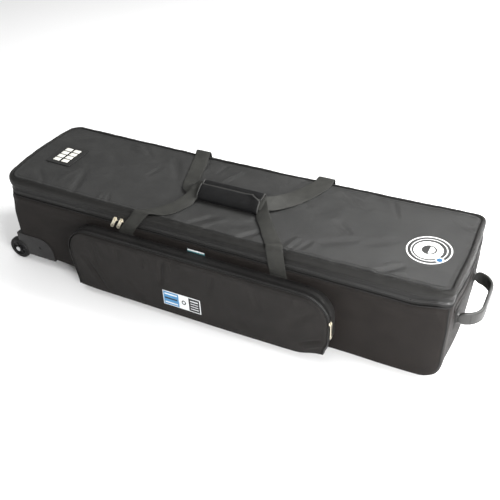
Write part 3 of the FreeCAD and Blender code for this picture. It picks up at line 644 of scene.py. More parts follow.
def stitches(name, body, slot, rows, pitch=0.0045, width=0.0011):
    """Stitches copied along rows. Each row is a list of (point, out) pairs."""
    corners, faces = stitch_shape()
    spots, mesh_faces = [], []
    for row in rows:
        points, outs = zip(*row)
        track = measured(points)
        count = max(int(track[1][-1] / pitch), 1)
        for index in range(count):
            share = (index + 0.5) / count
            place, along = walk(track, share), heading(track, share, 0.3 / count)
            out = outs[min(int(share * len(outs)), len(outs) - 1)]
            side = out.cross(along).normalized()
            first = len(spots)
            for x, y, z in corners:
                spots.append(place + along * (x * pitch * 0.74) + side * (y * width) + out * (z * width))
            mesh_faces += [tuple(first + corner for corner in face) for face in faces]
    mesh = bpy.data.meshes.new(name)
    mesh.from_pydata(spots, [], mesh_faces)
    return dress(added(name, mesh), body, thread, slot)


def pick(points, share):
    """A point at a share of a list of evenly spread points."""
    place = share * (len(points) - 1)
    index = min(int(place), len(points) - 2)
    return points[index].lerp(points[index + 1], place - index)


def squeezed(value, power):
    """A sine or cosine pushed towards 1 or -1, which squares off the round section that it draws."""
    return math.copysign(abs(value) ** power, value)


def ribbon(name, stations, length, thickness=0.0021, rows=120, sides=20):
    """Webbing with rounded edges between pairs of edge points, smoothly joined."""
    left, right = (curved(edge) for edge in zip(*stations))

    def place(u, v):
        a, b = pick(left, v), pick(right, v)
        after, before = min(v + 0.004, 1), max(v - 0.004, 0)
        run = (pick(left, after) + pick(right, after)) - (pick(left, before) + pick(right, before))
        across = (b - a) / 2
        out = across.cross(run).normalized()
        turn = 2 * math.pi * u
        return ((a + b) / 2 + across * squeezed(math.cos(turn), 0.4)
                + out * (squeezed(math.sin(turn), 0.7) * thickness / 2))

    piece = sheet(name, sides, rows, (1, length), place)
    width = (stations[0][1] - stations[0][0]).length
    for spot in piece.data.uv_layers[0].data:
        spot.uv[0] = width / 2 * squeezed(math.cos(spot.uv[0] * 2 * math.pi), 0.4)
    edit_all(piece, merge_doubles(), fill_holes(), outward())
    return piece


def turned(name, outline, centre, steps=64):
    """A round part on an axle along Y. Its closed outline is (radius, y) points."""
    mesh = bpy.data.meshes.new(name)
    last = len(outline)
    mesh.from_pydata([(radius, y, 0) for radius, y in outline],
                     [(i, (i + 1) % last) for i in range(last)], [])
    piece = added(name, mesh)
    finish_with(piece, "SCREW", axis="Y", angle=math.tau, steps=steps, render_steps=steps,
                screw_offset=0, use_merge_vertices=True, merge_threshold=0.00001)
    edit_all(piece, merge_doubles(0.00001), outward())
    piece.data.transform(Matrix.Translation(centre))
    return piece


def corner_seam(face, end, low):
    """The corner seam's line up the body, from a height to the welt."""
    u = 1 if (face == "front") == (end == "right") else 0
    points = [wall_place(face)(u, 0.02 + 0.975 * index / 60) for index in range(61)]
    return [point for point in points if low <= point.z <= welt_height - 0.0025]


for end, low in (("left", 0.079), ("right", 0.001)):
    for face in ("front", "rear"):
        seam = bead("corner_seam_%s_%s" % (face, end), corner_seam(face, end, low), 0.0024)
        dress(seam, "case", piping_cloth, "piping", "corner_piping")


# The zip round the front and both ends

def clean_line(points, least=0.0005):
    result = [points[0]]
    for point in points[1:]:
        if (point - result[-1]).length > least:
            result.append(point)
    return result


def zip_lines():
    """The coil's line as far as the rear corners, and the tape's line on round them to the hinge's cloth."""
    front = [p.copy() for side in ("left", "front", "right") for p in wall_track(side, corner_radius, 0)[0]]
    rear = wall_track("rear", corner_radius, 0)
    first = [walk(rear, 0.024 * i / 12) for i in range(13)]
    last = [walk(rear, 1 - 0.024 * i / 12) for i in range(12, -1, -1)]
    stop = corner_centre(corner_radius)[1] + 0.0005
    return [measured(clean_line(line)) for line in ([p for p in front if p.y <= stop], last + front + first)]


zip_track, tape_track = zip_lines()
zip_length = zip_track[1][-1]


def zip_point(u, out, z, track=zip_track):
    """A point along the zip, out from the tape's plane, on its wavy line."""
    along = heading(track, u, 0.0015)
    point = walk(track, u) + Vector((along.y, -along.x, 0)) * out
    point.z = z + zip_wave(point)
    return point


def zip_tape(name, low, high, body, node):
    """One half of the zip's woven tape, ribbed along its length."""
    def place(u, v):
        z = low + (high - low) * v
        return zip_point(u, -0.0005 + 0.0003 * math.sin(3 * math.pi * v), z, tape_track)
    piece = sheet(name, 600, 6, (tape_track[1][-1], high - low), place)
    turn_weave(piece)
    thicken(piece, 0.0008)
    return dress(piece, body, tape_cloth, "zip_tape", node, angle=60)


def zip_coil(name, point_at, length, low, high, body, slot, *nodes, pitch=0.0021, depth=0.0016):
    """One half of a zip's coil: a slanted turn of nylon every pitch, closed over its edges."""
    turns = int(length / pitch)

    def place(u, v):
        slant = u * turns + 0.35 * v
        ridge = 0.5 + 0.5 * math.cos(2 * math.pi * slant)
        dome = math.sin(math.pi * v) ** 0.5 if 0 < v < 1 else 0
        return point_at(u, depth * dome * (0.62 + 0.38 * ridge), low + (high - low) * v)

    piece = sheet(name, turns * 4, 4, (length, high - low), place)
    return dress(piece, body, coil_nylon, slot, *nodes)


zip_tape("lower_tape", welt_height - tape_hem, zip_height - tape_gap, "case", "lower_zip_tape")
zip_tape("upper_tape", zip_height + tape_gap, lid_foot + 2 * tape_hem, "lid", "upper_zip_tape")
coil_low, coil_high = zip_height - coil_gap, zip_height + coil_gap
for half, body, low in (("lower", "case", coil_low - coil_wide), ("upper", "lid", coil_high)):
    zip_coil(half + "_coil", zip_point, zip_length, low, low + coil_wide, body, "zip_coil",
             half + "_zip_coil")


def welt_line():
    """The welt's closed line under the zip."""
    points = []
    for side, count in zip(around, (200, 60, 200, 60)):
        for index in range(count):
            point, out = wall_point(side, index / count, corner_radius, -0.0008)
            point.z = welt_height + 0.0002
            swell = 0.0005 * lump(point, 0.05, 9)
            point += out * swell
            point.z += zip_wave(point) + 0.5 * swell
            points.append(point)
    return points


dress(bead("welt", welt_line(), 0.0026, closed=True), "case", piping_cloth, "piping", "zip_welt")


def hinge_place(u, v):
    point, out = wall_point("rear", 0.018 + 0.964 * u, corner_radius, 0.0)
    point += out * (0.0012 * math.sin(math.pi * v) - 0.0010)
    point.z = welt_height - tape_hem + 0.020 * v
    return point


hinge = sheet("hinge_cloth", 220, 10, (1.36, 0.02), hinge_place)
thicken(hinge, 0.0009)
dress(hinge, None, tape_cloth, "zip_tape", "hinge_strip", angle=60)
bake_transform(hinge)


# The lid

# Its creases: where each starts and ends, its width and its depth
lid_creases = [
    (0.442, 0.146, 0.474, 0.080, 0.010, 0.0022), (0.500, -0.160, 0.546, -0.118, 0.012, 0.0035),
    (0.513, -0.125, 0.533, -0.108, 0.009, -0.0020), (0.530, -0.150, 0.560, -0.140, 0.008, -0.0015),
    (-0.470, -0.051, -0.436, -0.160, 0.016, 0.0034), (-0.610, -0.100, -0.551, -0.150, 0.013, 0.0028),
    (-0.500, -0.020, -0.510, -0.120, 0.012, -0.0016), (-0.279, 0.007, -0.268, 0.062, 0.012, 0.0022),
    (-0.310, -0.160, -0.326, -0.130, 0.007, 0.0022), (-0.345, -0.160, -0.350, -0.125, 0.007, -0.0014),
    (-0.405, 0.128, -0.365, 0.121, 0.016, -0.0030), (-0.385, 0.150, -0.330, 0.105, 0.012, 0.0026),
    (-0.637, 0.108, -0.567, 0.142, 0.014, -0.0024), (-0.252, 0.122, -0.190, 0.030, 0.018, 0.0032),
    (-0.147, 0.150, -0.140, 0.100, 0.007, 0.0022), (-0.085, 0.150, -0.090, 0.105, 0.007, 0.0020),
    (-0.056, 0.060, -0.030, 0.125, 0.014, -0.0024), (0.060, 0.060, 0.120, 0.030, 0.014, 0.0018),
    (-0.040, -0.160, 0.006, -0.110, 0.012, 0.0026), (0.000, -0.155, 0.045, -0.105, 0.012, -0.0016),
    (0.120, -0.160, 0.157, -0.118, 0.013, 0.0026), (0.060, -0.130, 0.130, -0.090, 0.018, 0.0014),
    (0.248, -0.155, 0.262, -0.110, 0.012, -0.0026), (0.285, -0.150, 0.300, -0.110, 0.010, 0.0018),
    (0.335, 0.001, 0.377, -0.032, 0.016, 0.0026), (0.330, -0.100, 0.400, -0.060, 0.018, 0.0020),
    (0.170, 0.090, 0.230, 0.045, 0.014, 0.0016), (0.300, 0.135, 0.380, 0.090, 0.018, 0.0022),
    (0.657, 0.104, 0.672, 0.092, 0.009, 0.0022), (-0.470, 0.080, -0.400, 0.030, 0.020, 0.0016),
    (0.440, -0.060, 0.500, -0.020, 0.020, 0.0018), (0.610, 0.130, 0.650, 0.100, 0.012, 0.0018),
]


def plan_depth(x, y):
    """How far a point lies inside the case's outline, seen from above."""
    centre_x, centre_y = corner_centre(corner_radius)
    ax, ay = abs(x), abs(y)
    if ax > centre_x and ay > centre_y:
        return corner_radius - math.hypot(ax - centre_x, ay - centre_y)
    return min(half_width - ay, end_radius - math.hypot(ax - end_centre_x, ay))


def crease(x, y, x0, y0, x1, y1, width, depth):
    """The dent that one crease makes, deepest along its line."""
    run = Vector((x1 - x0, y1 - y0))
    rest = Vector((x - x0, y - y0))
    t = min(max(rest.dot(run) / run.length_squared, 0), 1)
    away = (rest - run * t).length / width
    if away > 3:
        return 0
    return -depth * (1 - away * away) * math.exp(-away * away) * (0.6 + 0.4 * math.sin(math.pi * t))


def lid_folds(x, y):
    """How the lid's cloth rises and falls: soft lumps, puckers by the seam and a few creases."""
    depth = plan_depth(x, y) - seam_inset
    near = max(1 - abs(depth) / 0.055, 0) ** 2
    long_side = half_width - abs(y) < half_length - abs(x)
    along, inward = (x, y) if long_side else (y, x)
    pucker = noise.noise(Vector((along / 0.016, inward / 0.09, 1.7)))
    ripple = noise.noise(Vector((along / 0.034, inward / 0.16, 4.1)))
    rise = near * (0.0010 * pucker + 0.0014 * ripple)
    rise += 0.0024 * lump((x, y, 0), 0.24, 5) + 0.0014 * lump((x, y, 0), 0.085, 6)
    rise += 0.0003 * lump((x, y * 1.6, 0), 0.028, 7)
    rise += sum(crease(x, y, *one) for one in lid_creases)
    plate_calm = smooth_step(0.055, 0.085, max(abs(x + 0.577), abs(y)))
    emblem_calm = 0.35 + 0.65 * smooth_step(0.055, 0.090, math.hypot(x - 0.590, y + 0.027))
    return rise * plate_calm * emblem_calm * smooth_step(0.0, 0.012, depth + seam_inset)


def lid_top(x, y):
    return lid_height(x) + lid_folds(x, y)


# Rows over the lid's rim: how far in, which share of the lid's height, and a lift
lid_profile = [
    (0.0006, 0.00, 0.0000), (-0.0016, 0.10, 0.0000), (-0.0028, 0.30, 0.0000), (-0.0029, 0.55, 0.0000),
    (-0.0017, 0.78, 0.0000), (0.0004, 0.93, 0.0002), (0.0022, 1.00, 0.0004), (0.0034, 1.00, 0.0020),
    (0.0048, 1.00, 0.0010), (0.0060, 1.00, 0.0023), (0.0074, 1.00, 0.0017), (0.0088, 1.00, 0.0000),
    (0.0100, 1.00, -0.0016), (0.0110, 1.00, -0.0022), (0.0120, 1.00, -0.0012), (0.0138, 1.00, 0.0004),
    (0.0170, 1.00, 0.0006), (0.0220, 1.00, 0.0000)]


def profile_row(profile, v):
    """The row of a profile at a share of its rows."""
    place = v * (len(profile) - 1)
    index = min(int(place), len(profile) - 2)
    return [a + (b - a) * (place - index) for a, b in zip(profile[index], profile[index + 1])]


def lid_rim_place(side):
    """Moves a flat sheet to one side of the lid: from its foot by the zip up over the piped edge."""
    def place(u, v):
        inset, share, lift = profile_row(lid_profile, v)
        point, out = wall_point(side, u, corner_radius, inset)
        foot = lid_foot - 0.0145 * smooth_step(0.167, 0.177, point.y)
        top = lid_top(point.x, point.y) if share > 0.5 else lid_height(point.x)
        swell = 0.0008 * lump(point, 0.06, 8) + 0.0005 * lump(point, 0.022, 12)
        point += out * (swell * math.sin(math.pi * min(v * 1.6, 1)))
        point.z = foot + (top - foot) * share + lift
        point.z += zip_wave(point) * (1 - share) + swell * share * (1 - smooth_step(0.006, 0.011, inset))
        return point
    return place


lid_parts = [sheet("rim " + side, columns, 34, (length, 0.06), lid_rim_place(side))
             for side, columns, length in zip(around, (300, 76) * 2, (1.41, 0.36) * 2)]
lid_patch = plan_patch(corner_radius, lid_profile[-1][0])


def lid_place(u, v):
    point = lid_patch(u, v)
    point.z = lid_top(point.x, point.y)
    return point


lid_parts.append(sheet("middle", 300, 76, (1.36, 0.31), lid_place))
lid_cover = join("lid_cover", lid_parts)
edit_all(lid_cover, merge_doubles(0.00004))
thicken(lid_cover)
dress(lid_cover, "lid", lid_cloth, "lid_cloth", "lid_top_panel", "lid_side_band")
lid_cover.data.materials.append(rim_cloth)
for face in lid_cover.data.polygons:
    x, y, z = face.center
    if plan_depth(x, y) < seam_inset or z < lid_height(x) - 0.012:
        face.material_index = 1


def lid_ring(inset, lift, steps):
    """Points round the lid's top, this far in from its outline."""
    ring = []
    for side in around:
        for index in range(steps):
            point, out = wall_point(side, index / steps, corner_radius, inset)
            point.z = lid_top(point.x, point.y) + lift
            ring.append(point)
    return ring


seam_rows = [[(point, Vector((0, 0, 1))) for point in lid_ring(inset, 0.0006, 240)]
             for inset in (0.0083, 0.0142)]
stitches("lid_seam_stitches", "lid", "lid_cloth", seam_rows, pitch=0.0052)
dress(bead("lid_seam_cord", lid_ring(seam_inset, -0.0012, 200), 0.0011, closed=True), "lid", piping_cloth,
      "piping", "lid_piping")


# The padded lining inside the body and the lid

def lined(name, wall, floor_at, rows):
    """A lining: padded walls from a rim to a floor or ceiling, all one cloth."""
    parts = [sheet("lining " + side, columns, rows, (length, 0.25), functools.partial(wall, side))
             for side, columns, length in zip(around, (200, 50) * 2, (1.4, 0.35) * 2)]
    tracks = [measured([wall(side, index / 200, 1) for index in range(201)]) for side in around]
    parts.append(sheet("lining middle", 200, 50, (1.36, 0.32), lambda u, v: floor_at(coons(*tracks, u, v))))
    piece = join(name, parts)
    edit_all(piece, merge_doubles(0.00005))
    return piece


tub_profile = measured([Vector(p) for p in (
    (0.0018, 0.2418, 0), (0.0040, 0.2426, 0), (0.0080, 0.2424, 0), (0.0102, 0.2400, 0), (0.0106, 0.2300, 0),
    (0.0112, 0.1200, 0), (0.0108, 0.0320, 0), (0.0130, 0.0200, 0), (0.0200, 0.0148, 0), (0.0260, 0.0142, 0))])
tub_floor = 0.0142


def tub_radius(z):
    return 0.030 + (corner_radius - 0.030) * smooth_step(square_top, welt_height, z)


def tub_wall(side, u, v):
    level = walk(tub_profile, v)
    point, out = wall_point(side, u, tub_radius(level.y), level.x)
    point.z = level.y
    middle = math.sin(math.pi * v) ** 0.5 if 0 < v < 1 else 0
    point += out * (0.0008 * lump(point, 0.12, 21) * middle)
    point.x += end_shift(point.x, max(level.y - 0.006, 0)) * smooth_step(0.3, 0.0, v - 0.6)
    return point


def tub_floor_at(point):
    edge = min(smooth_step(0.026, 0.10, plan_depth(point.x, point.y)), 1)
    point.z = tub_floor + 0.0006 * edge * (1 + lump(point, 0.15, 22))
    return point


tub = lined("body_lining_cloth", tub_wall, tub_floor_at, 44)
cut_out(tub, cutter)
dress(tub, "case", lining_cloth, "lining", "body_lining", "base_pad", "front_pad", "rear_pad", "end_pads")

pan_profile = [(0.0018, 0.00, 0.0), (0.0050, 0.00, -0.0008), (0.0085, 0.00, -0.0004), (0.0104, 0.06, 0.0),
               (0.0108, 0.40, 0.0), (0.0116, 0.80, 0.0), (0.0150, 0.97, 0.0), (0.0220, 1.00, 0.0)]
pan_foot, pan_drop = 0.2478, 0.0104


def pan_wall(side, u, v):
    inset, share, lift = profile_row(pan_profile, v)
    point, out = wall_point(side, u, corner_radius, inset)
    top = lid_height(point.x) - pan_drop
    point.z = pan_foot + (top - pan_foot) * share + lift
    return point


def pan_ceiling_at(point):
    edge = smooth_step(0.022, 0.08, plan_depth(point.x, point.y))
    point.z = lid_height(point.x) - pan_drop - 0.0010 * edge * (0.5 + 0.5 * lump(point, 0.11, 23))
    return point


pan = lined("lid_lining_cloth", pan_wall, pan_ceiling_at, 14)
dress(pan, "lid", lining_cloth, "lining", "lid_lining", "lid_pad")

# The lining's padded boxes over the insides of the wheel housings
for sign in (-1, 1):
    cover = box("wheel_cover_" + ("front", "rear")[sign > 0], (-0.6180, sign * 0.1410, 0.0475),
                (0.1300, sign * 0.0530, 0.0685))
    finish_with(cover, "BEVEL", width=0.006, segments=4)
    finish_with(cover, "SUBSURF", levels=1, render_levels=1)
    dress(cover, "case", lining_cloth, "lining", "body_lining", angle=60)


def strap_stations(x):
    """A hold-down strap: up the front wall, over the floor and up the rear wall."""
    wall, floor, corner, half = 0.1655, tub_floor + 0.0030, 0.014, 0.019
    line = [(-wall, 0.086), (-wall, 0.060), (-wall, floor + corner),
            (-wall + corner * 0.3, floor + corner * 0.3), (-wall + corner, floor), (-0.090, floor - 0.0005),
            (-0.030, floor + 0.0012)]
    line += [(-y, z) for y, z in reversed(line)]
    return [(Vector((x - half, y, z)), Vector((x + half, y, z))) for y, z in line]


straps = [ribbon("strap", strap_stations(x), 0.48, 0.0017, rows=130) for x in (-0.350, 0.350)]
dress(join("hold_down_straps", straps), "case", strap_cloth, "strap_webbing", "inner_straps", angle=50)
for node, finish in (("inner_buckles", buckle_plastic), ("end_feet", foot_plastic), ("axle_bolts", zinc),
                     ("housing_rivets", hub_plastic), ("base_board", board_plastic)):
    materials = frame["nodes"][node].data.materials
    materials.clear()
    materials.append(finish)


# The carry handle: two webbing loops and the padded wrap

wrap_rear = Vector((0, math.cos(wrap_lean), math.sin(wrap_lean)))
wrap_up = Vector((0, -math.sin(wrap_lean), math.cos(wrap_lean)))
held_places, held_half, layer_lift = (-0.060, 0.000, 0.060, 0.105), 0.0245, 0.0014


def in_wrap(x, across, up):
    """A point of the leaning wrap: across it towards its rear edge, and up out of its face."""
    return Vector((x, wrap_centre.y, wrap_centre.z)) + wrap_rear * across + wrap_up * up


def seated(spot):
    """A point of the webbing. A height under 0.1 is a lift over the lid's top, any other is a real height."""
    x, y, z = spot
    return Vector((x, y, lid_top(x, y) + z if z < 0.1 else z))


def front_handle():
    """Edge pairs of the front loop, from its left stitches through the wrap to its right ones."""
    low, mid = front_y - 0.0026, front_y - 0.0062
    points = [((-0.2705, low, 0.2072), (-0.2205, low, 0.2072)),
              ((-0.2560, mid, 0.2260), (-0.2060, mid, 0.2290)),
              ((-0.2380, mid - 0.0022, 0.2480), (-0.1880, mid - 0.0030, 0.2520)),
              ((-0.2200, mid - 0.0030, 0.2690), (-0.1710, mid - 0.0040, 0.2740)),
              ((-0.2070, front_y - 0.0085, 0.2870), (-0.1590, front_y - 0.0090, 0.2890)),
              ((-0.2000, front_y - 0.0020, 0.2970), (-0.1500, front_y - 0.0030, 0.2965)),
              ((-0.1930, -0.1640, 0.0055), (-0.1390, -0.1670, 0.0055)),
              ((-0.1720, -0.1440, 0.0030), (-0.1230, -0.1610, 0.0030)),
              ((-0.1460, -0.1180, 0.0028), (-0.1020, -0.1440, 0.0030)),
              ((-0.1250, -0.0820, 0.0050), (-0.0850, -0.1120, 0.0034)),
              ((-0.1110, -0.0440, 0.0140), (-0.0740, -0.0780, 0.0040)),
              ((-0.1000, -0.0160, 0.3085), (-0.0730, -0.0560, 0.2900))]
    points += [(in_wrap(x, held_half, -layer_lift), in_wrap(x, -held_half, -layer_lift)) for x in held_places]
    points += [((0.1300, -0.0180, 0.3120), (0.1110, -0.0480, 0.2890)),
               ((0.1480, -0.0440, 0.3040), (0.1250, -0.0740, 0.0040)),
               ((0.1720, -0.0760, 0.2960), (0.1480, -0.1020, 0.0034)),
               ((0.2000, -0.1080, 0.0070), (0.1720, -0.1360, 0.0030)),
               ((0.2290, -0.1410, 0.0040), (0.1930, -0.1640, 0.0040)),
               ((0.2480, -0.1700, 0.2985), (0.2030, front_y - 0.0010, 0.2980)),
               ((0.2560, front_y - 0.0075, 0.2900), (0.2070, front_y - 0.0090, 0.2880)),
               ((0.2590, mid - 0.0035, 0.2700), (0.2095, mid - 0.0035, 0.2690)),
               ((0.2610, mid - 0.0015, 0.2450), (0.2110, mid - 0.0015, 0.2450)),
               ((0.2630, mid, 0.2240), (0.2130, mid, 0.2240)),
               ((0.2640, low, 0.2072), (0.2140, low, 0.2072))]
    return [(seated(a), seated(b)) for a, b in points]


def rear_handle():
    """Edge pairs of the rear loop, from its left stitches over the lid to its right ones."""
    low, mid = rear_y + 0.0026, rear_y + 0.0072
    points = [((-0.2080, low, 0.2072), (-0.1580, low, 0.2072)),
              ((-0.2080, mid, 0.2350), (-0.1580, mid, 0.2350)),
              ((-0.2085, mid + 0.0020, 0.2640), (-0.1585, mid + 0.0020, 0.2640)),
              ((-0.2090, rear_y + 0.0085, 0.2870), (-0.1590, rear_y + 0.0085, 0.2870)),
              ((-0.2080, rear_y + 0.0010, 0.2958), (-0.1580, rear_y + 0.0010, 0.2958)),
              ((-0.2020, 0.1540, 0.0040), (-0.1540, 0.1540, 0.0040)),
              ((-0.1900, 0.1140, 0.0028), (-0.1410, 0.1120, 0.0028)),
              ((-0.1740, 0.0660, 0.0028), (-0.1260, 0.0600, 0.0028)),
              ((-0.1600, 0.0200, 0.0034), (-0.1130, 0.0200, 0.0040)),
              ((-0.1420, -0.0180, 0.0050), (-0.1040, 0.0060, 0.3000)),
              ((-0.1080, -0.0400, 0.0080), (-0.0900, -0.0040, 0.3170))]
    points += [(in_wrap(x, -held_half, layer_lift), in_wrap(x, held_half, layer_lift)) for x in held_places]
    points += [((0.1280, -0.0420, 0.2960), (0.1270, -0.0060, 0.3180)),
               ((0.1520, -0.0230, 0.2890), (0.1330, 0.0080, 0.3120)),
               ((0.1860, 0.0130, 0.0034), (0.1420, 0.0330, 0.3030)),
               ((0.2120, 0.0540, 0.0030), (0.1560, 0.0760, 0.0070)),
               ((0.2360, 0.1020, 0.0028), (0.1760, 0.1180, 0.0032)),
               ((0.2510, 0.1520, 0.0038), (0.1960, 0.1560, 0.0040)),
               ((0.2540, rear_y + 0.0010, 0.2958), (0.2030, rear_y + 0.0010, 0.2958)),
               ((0.2530, rear_y + 0.0085, 0.2870), (0.2030, rear_y + 0.0085, 0.2870)),
               ((0.2530, mid + 0.0020, 0.2640), (0.2030, mid + 0.0020, 0.2640)),
               ((0.2530, mid, 0.2350), (0.2030, mid, 0.2350)),
               ((0.2530, low, 0.2072), (0.2030, low, 0.2072))]
    return [(seated(a), seated(b)) for a, b in points]


for side, stations, length in (("front", front_handle(), 0.92), ("rear", rear_handle(), 1.05)):
    sign = -1 if side == "front" else 1
    loop = ribbon("webbing_" + side, stations, length, rows=320, sides=24)
    dress(loop, None, web_cloth, "webbing", side + "_handle_legs", side + "_handle_loop", angle=60)
    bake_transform(loop)


def anchor(x, sign):
    """The webbing's stitched end: two layers flat on the wall."""
    def place(u, v):
        y = sign * (half_width + 0.0026 + 0.0004 * math.sin(math.pi * v))
        z = anchor_low + (anchor_top + 0.001 - anchor_low) * v
        return Vector((x + (u - 0.5) * webbing * -sign, y, z))
    piece = sheet("anchor", 16, 8, (webbing, 0.018), place)
    thicken(piece, 0.0032)
    finish_with(piece, "BEVEL", width=0.0006, segments=2)
    return piece


anchor_places = [(-0.2455, -1), (0.2390, -1), (-0.1830, 1), (0.2280, 1)]
dress(join("webbing_ends", [anchor(x, sign) for x, sign in anchor_places]), "case", web_cloth, "webbing",
      "handle_anchors", angle=50)


def box_stitch(x, sign):
    """The sewn box with a cross that holds one webbing end."""
    y = sign * (half_width + 0.0030)
    out = Vector((0, sign, 0))
    left, right, low, high = x - 0.0205, x + 0.0205, anchor_low + 0.002, anchor_top - 0.002
    a, b, c, d = (Vector((x, y, z)) for x, z in ((left, low), (right, low), (right, high), (left, high)))
    lines = ((a, b), (b, c), (c, d), (d, a), (a, c), (b, d))
    return [[(start.lerp(end, i / 4), out) for i in range(5)] for start, end in lines]


stitches("webbing_end_stitches", "case", "webbing",
         [row for x, sign in anchor_places for row in box_stitch(x, sign)], pitch=0.0036)


def cushion(name, middle, half_thick):
    """A padded flap: two faces that swell apart from a middle surface and meet at its edges."""
    halves = []
    for face in (1, -1):
        def place(u, v):
            point, out = middle(u, v)
            swell = (1 - abs(2 * u - 1) ** 9) * (1 - abs(2 * v - 1) ** 7)
            return point + out * (face * half_thick * max(swell, 0) ** 0.5)
        halves.append(sheet("half", 70, 40, (0.19, 0.08), place))
    piece = join(name, halves)
    edit_all(piece, merge_doubles(0.00003), outward())
    return piece


def flap_middle(section, low_x, high_x, round_end, curl):
    """The middle surface of one of the wrap's flaps, bent round the webbing."""
    track = measured(curved([Vector((a * 0.001, b * 0.001, 0)) for a, b in section]))

    def middle(u, v):
        spot, run = walk(track, v), heading(track, v, 0.02)
        drawn = round_end * (1 - smooth_step(0, 0.30, v)) ** 2
        x = low_x + (high_x - drawn - low_x) * u
        lift = curl * smooth_step(0.84, 1.0, u) * (1 - 0.6 * v)
        out = (wrap_rear * run.y * -1 + wrap_up * run.x) * -1
        wave = 0.0009 * lump((x, v * 0.06, 0), 0.030, 31)
        return in_wrap(x, spot.x, spot.y) + out * (lift + wave), out
    return middle


wrap_flaps = (
    ("grip_front", [(14, 10.0), (4, 10.4), (-14, 9.0), (-25, 5.0), (-28.5, -1.5), (-23, -8.0), (-8, -9.8)],
     wrap_left, wrap_right - 0.001, 0.026, 0.0035, 0.0029),
    ("grip_rear", [(8, 5.2), (18, 6.4), (27.5, 5.2), (30.0, -0.5), (25, -7.0), (12, -9.0), (2, -9.4)],
     wrap_left + 0.003, wrap_right + 0.001, 0.004, 0.0, 0.0022),
)
for name, section, low_x, high_x, round_end, curl, half_thick in wrap_flaps:
    middle = flap_middle(section, low_x, high_x, round_end, curl)
    flap = cushion(name, middle, half_thick)
    dress(flap, "front_loop", grip_cloth, "grip", "grip_wrap")
    edge = [middle(i / 60, 0)[0] for i in range(61)]
    edge += [middle(1, i / 30)[0] for i in range(1, 31)]
    edge += [middle(1 - i / 60, 1)[0] for i in range(1, 61)]
    edge += [middle(0, 1 - i / 30)[0] for i in range(1, 30)]
    edging = dress(bead(name + "_piping", edge, 0.0021, closed=True), "front_loop", grip_piping, "piping")
    for piece in (flap, edging):
        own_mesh(piece)


# The front pocket

def pocket_line(inset=0):
    """The pocket's outline seen from the front, from its lower left, over the top, to its lower right."""
    r = pocket_radius - inset
    low, high = pocket_left + pocket_radius, pocket_right - pocket_radius
    shoulder = pocket_top - pocket_radius
    rise = [0.0015 + shoulder * i / 12 for i in range(12)]
    line = [(pocket_left + inset, z) for z in rise]
    line += [point.xy for point in arc(low, shoulder, r, math.pi, math.pi / 2, 24)]
    line += [(low + (high - low) * i / 20, pocket_top - inset) for i in range(1, 20)]
    line += [point.xy for point in arc(high, shoulder, r, math.pi / 2, 0, 24)]
    line += [(pocket_right - inset, z) for z in reversed(rise)]
    return [Vector((x, 0, z)) for x, z in line]
pocket_track = measured(pocket_line())
pocket_length = pocket_track[1][-1]


def share_at_height(track, height, marks):
    """The first of these marks, in 2000ths of a track, that stands at this height."""
    return next(mark / 2000 for mark in marks if walk(track, mark / 2000).z >= height)


zip_from = share_at_height(pocket_track, pocket_fold, range(2001))
zip_to = share_at_height(pocket_track, pocket_fold, range(2000, -1, -1))

# The pocket's creases: where each starts and ends, its width and its depth
pocket_creases = [
    (-0.344, 0.160, -0.338, 0.104, 0.009, 0.0026), (-0.322, 0.165, -0.316, 0.120, 0.008, -0.0016),
    (-0.253, 0.180, -0.253, 0.138, 0.008, 0.0022), (-0.174, 0.180, -0.168, 0.140, 0.008, 0.0024),
    (-0.101, 0.182, -0.112, 0.096, 0.010, 0.0040), (-0.080, 0.180, -0.088, 0.120, 0.009, -0.0018),
    (-0.378, 0.110, -0.320, 0.020, 0.013, 0.0034), (-0.350, 0.090, -0.300, 0.020, 0.012, -0.0016),
    (0.330, 0.040, 0.387, 0.068, 0.009, 0.0046), (0.340, 0.020, 0.392, 0.044, 0.010, -0.0024),
    (0.300, 0.100, 0.366, 0.160, 0.015, 0.0022), (0.180, 0.170, 0.200, 0.110, 0.014, 0.0020),
    (0.060, 0.175, 0.050, 0.120, 0.010, 0.0022), (0.120, 0.060, 0.220, 0.020, 0.020, 0.0018),
    (-0.230, 0.070, -0.170, 0.020, 0.018, 0.0020),
]


def pocket_swell(x, z):
    """The pocket's soft front: a low crown, sagging folds and puckers beside its zip."""
    middle = (x - pocket_left) / (pocket_right - pocket_left)
    crown = 0.0012 * max(math.sin(math.pi * min(max(middle, 0), 1)), 0) ** 0.5
    label_calm = 0.10 + 0.90 * smooth_step(0.0, 0.03, max(abs(x + 0.047) - 0.066, abs(z - 0.0555) - 0.026))
    folds = 0.0018 * lump((x * 0.6, 0, z), 0.050, 41) + 0.0020 * lump((x, 0, z), 0.16, 42)
    folds += 0.0005 * lump((x, 0, z), 0.030, 43)
    folds += 0.0016 * noise.noise(Vector((x / 0.016, z / 0.07, 2.5))) * smooth_step(0.125, 0.180, z)
    folds += sum(crease(x, z, *one) for one in pocket_creases)
    return crown * 0.4 + (folds - 0.0004) * label_calm


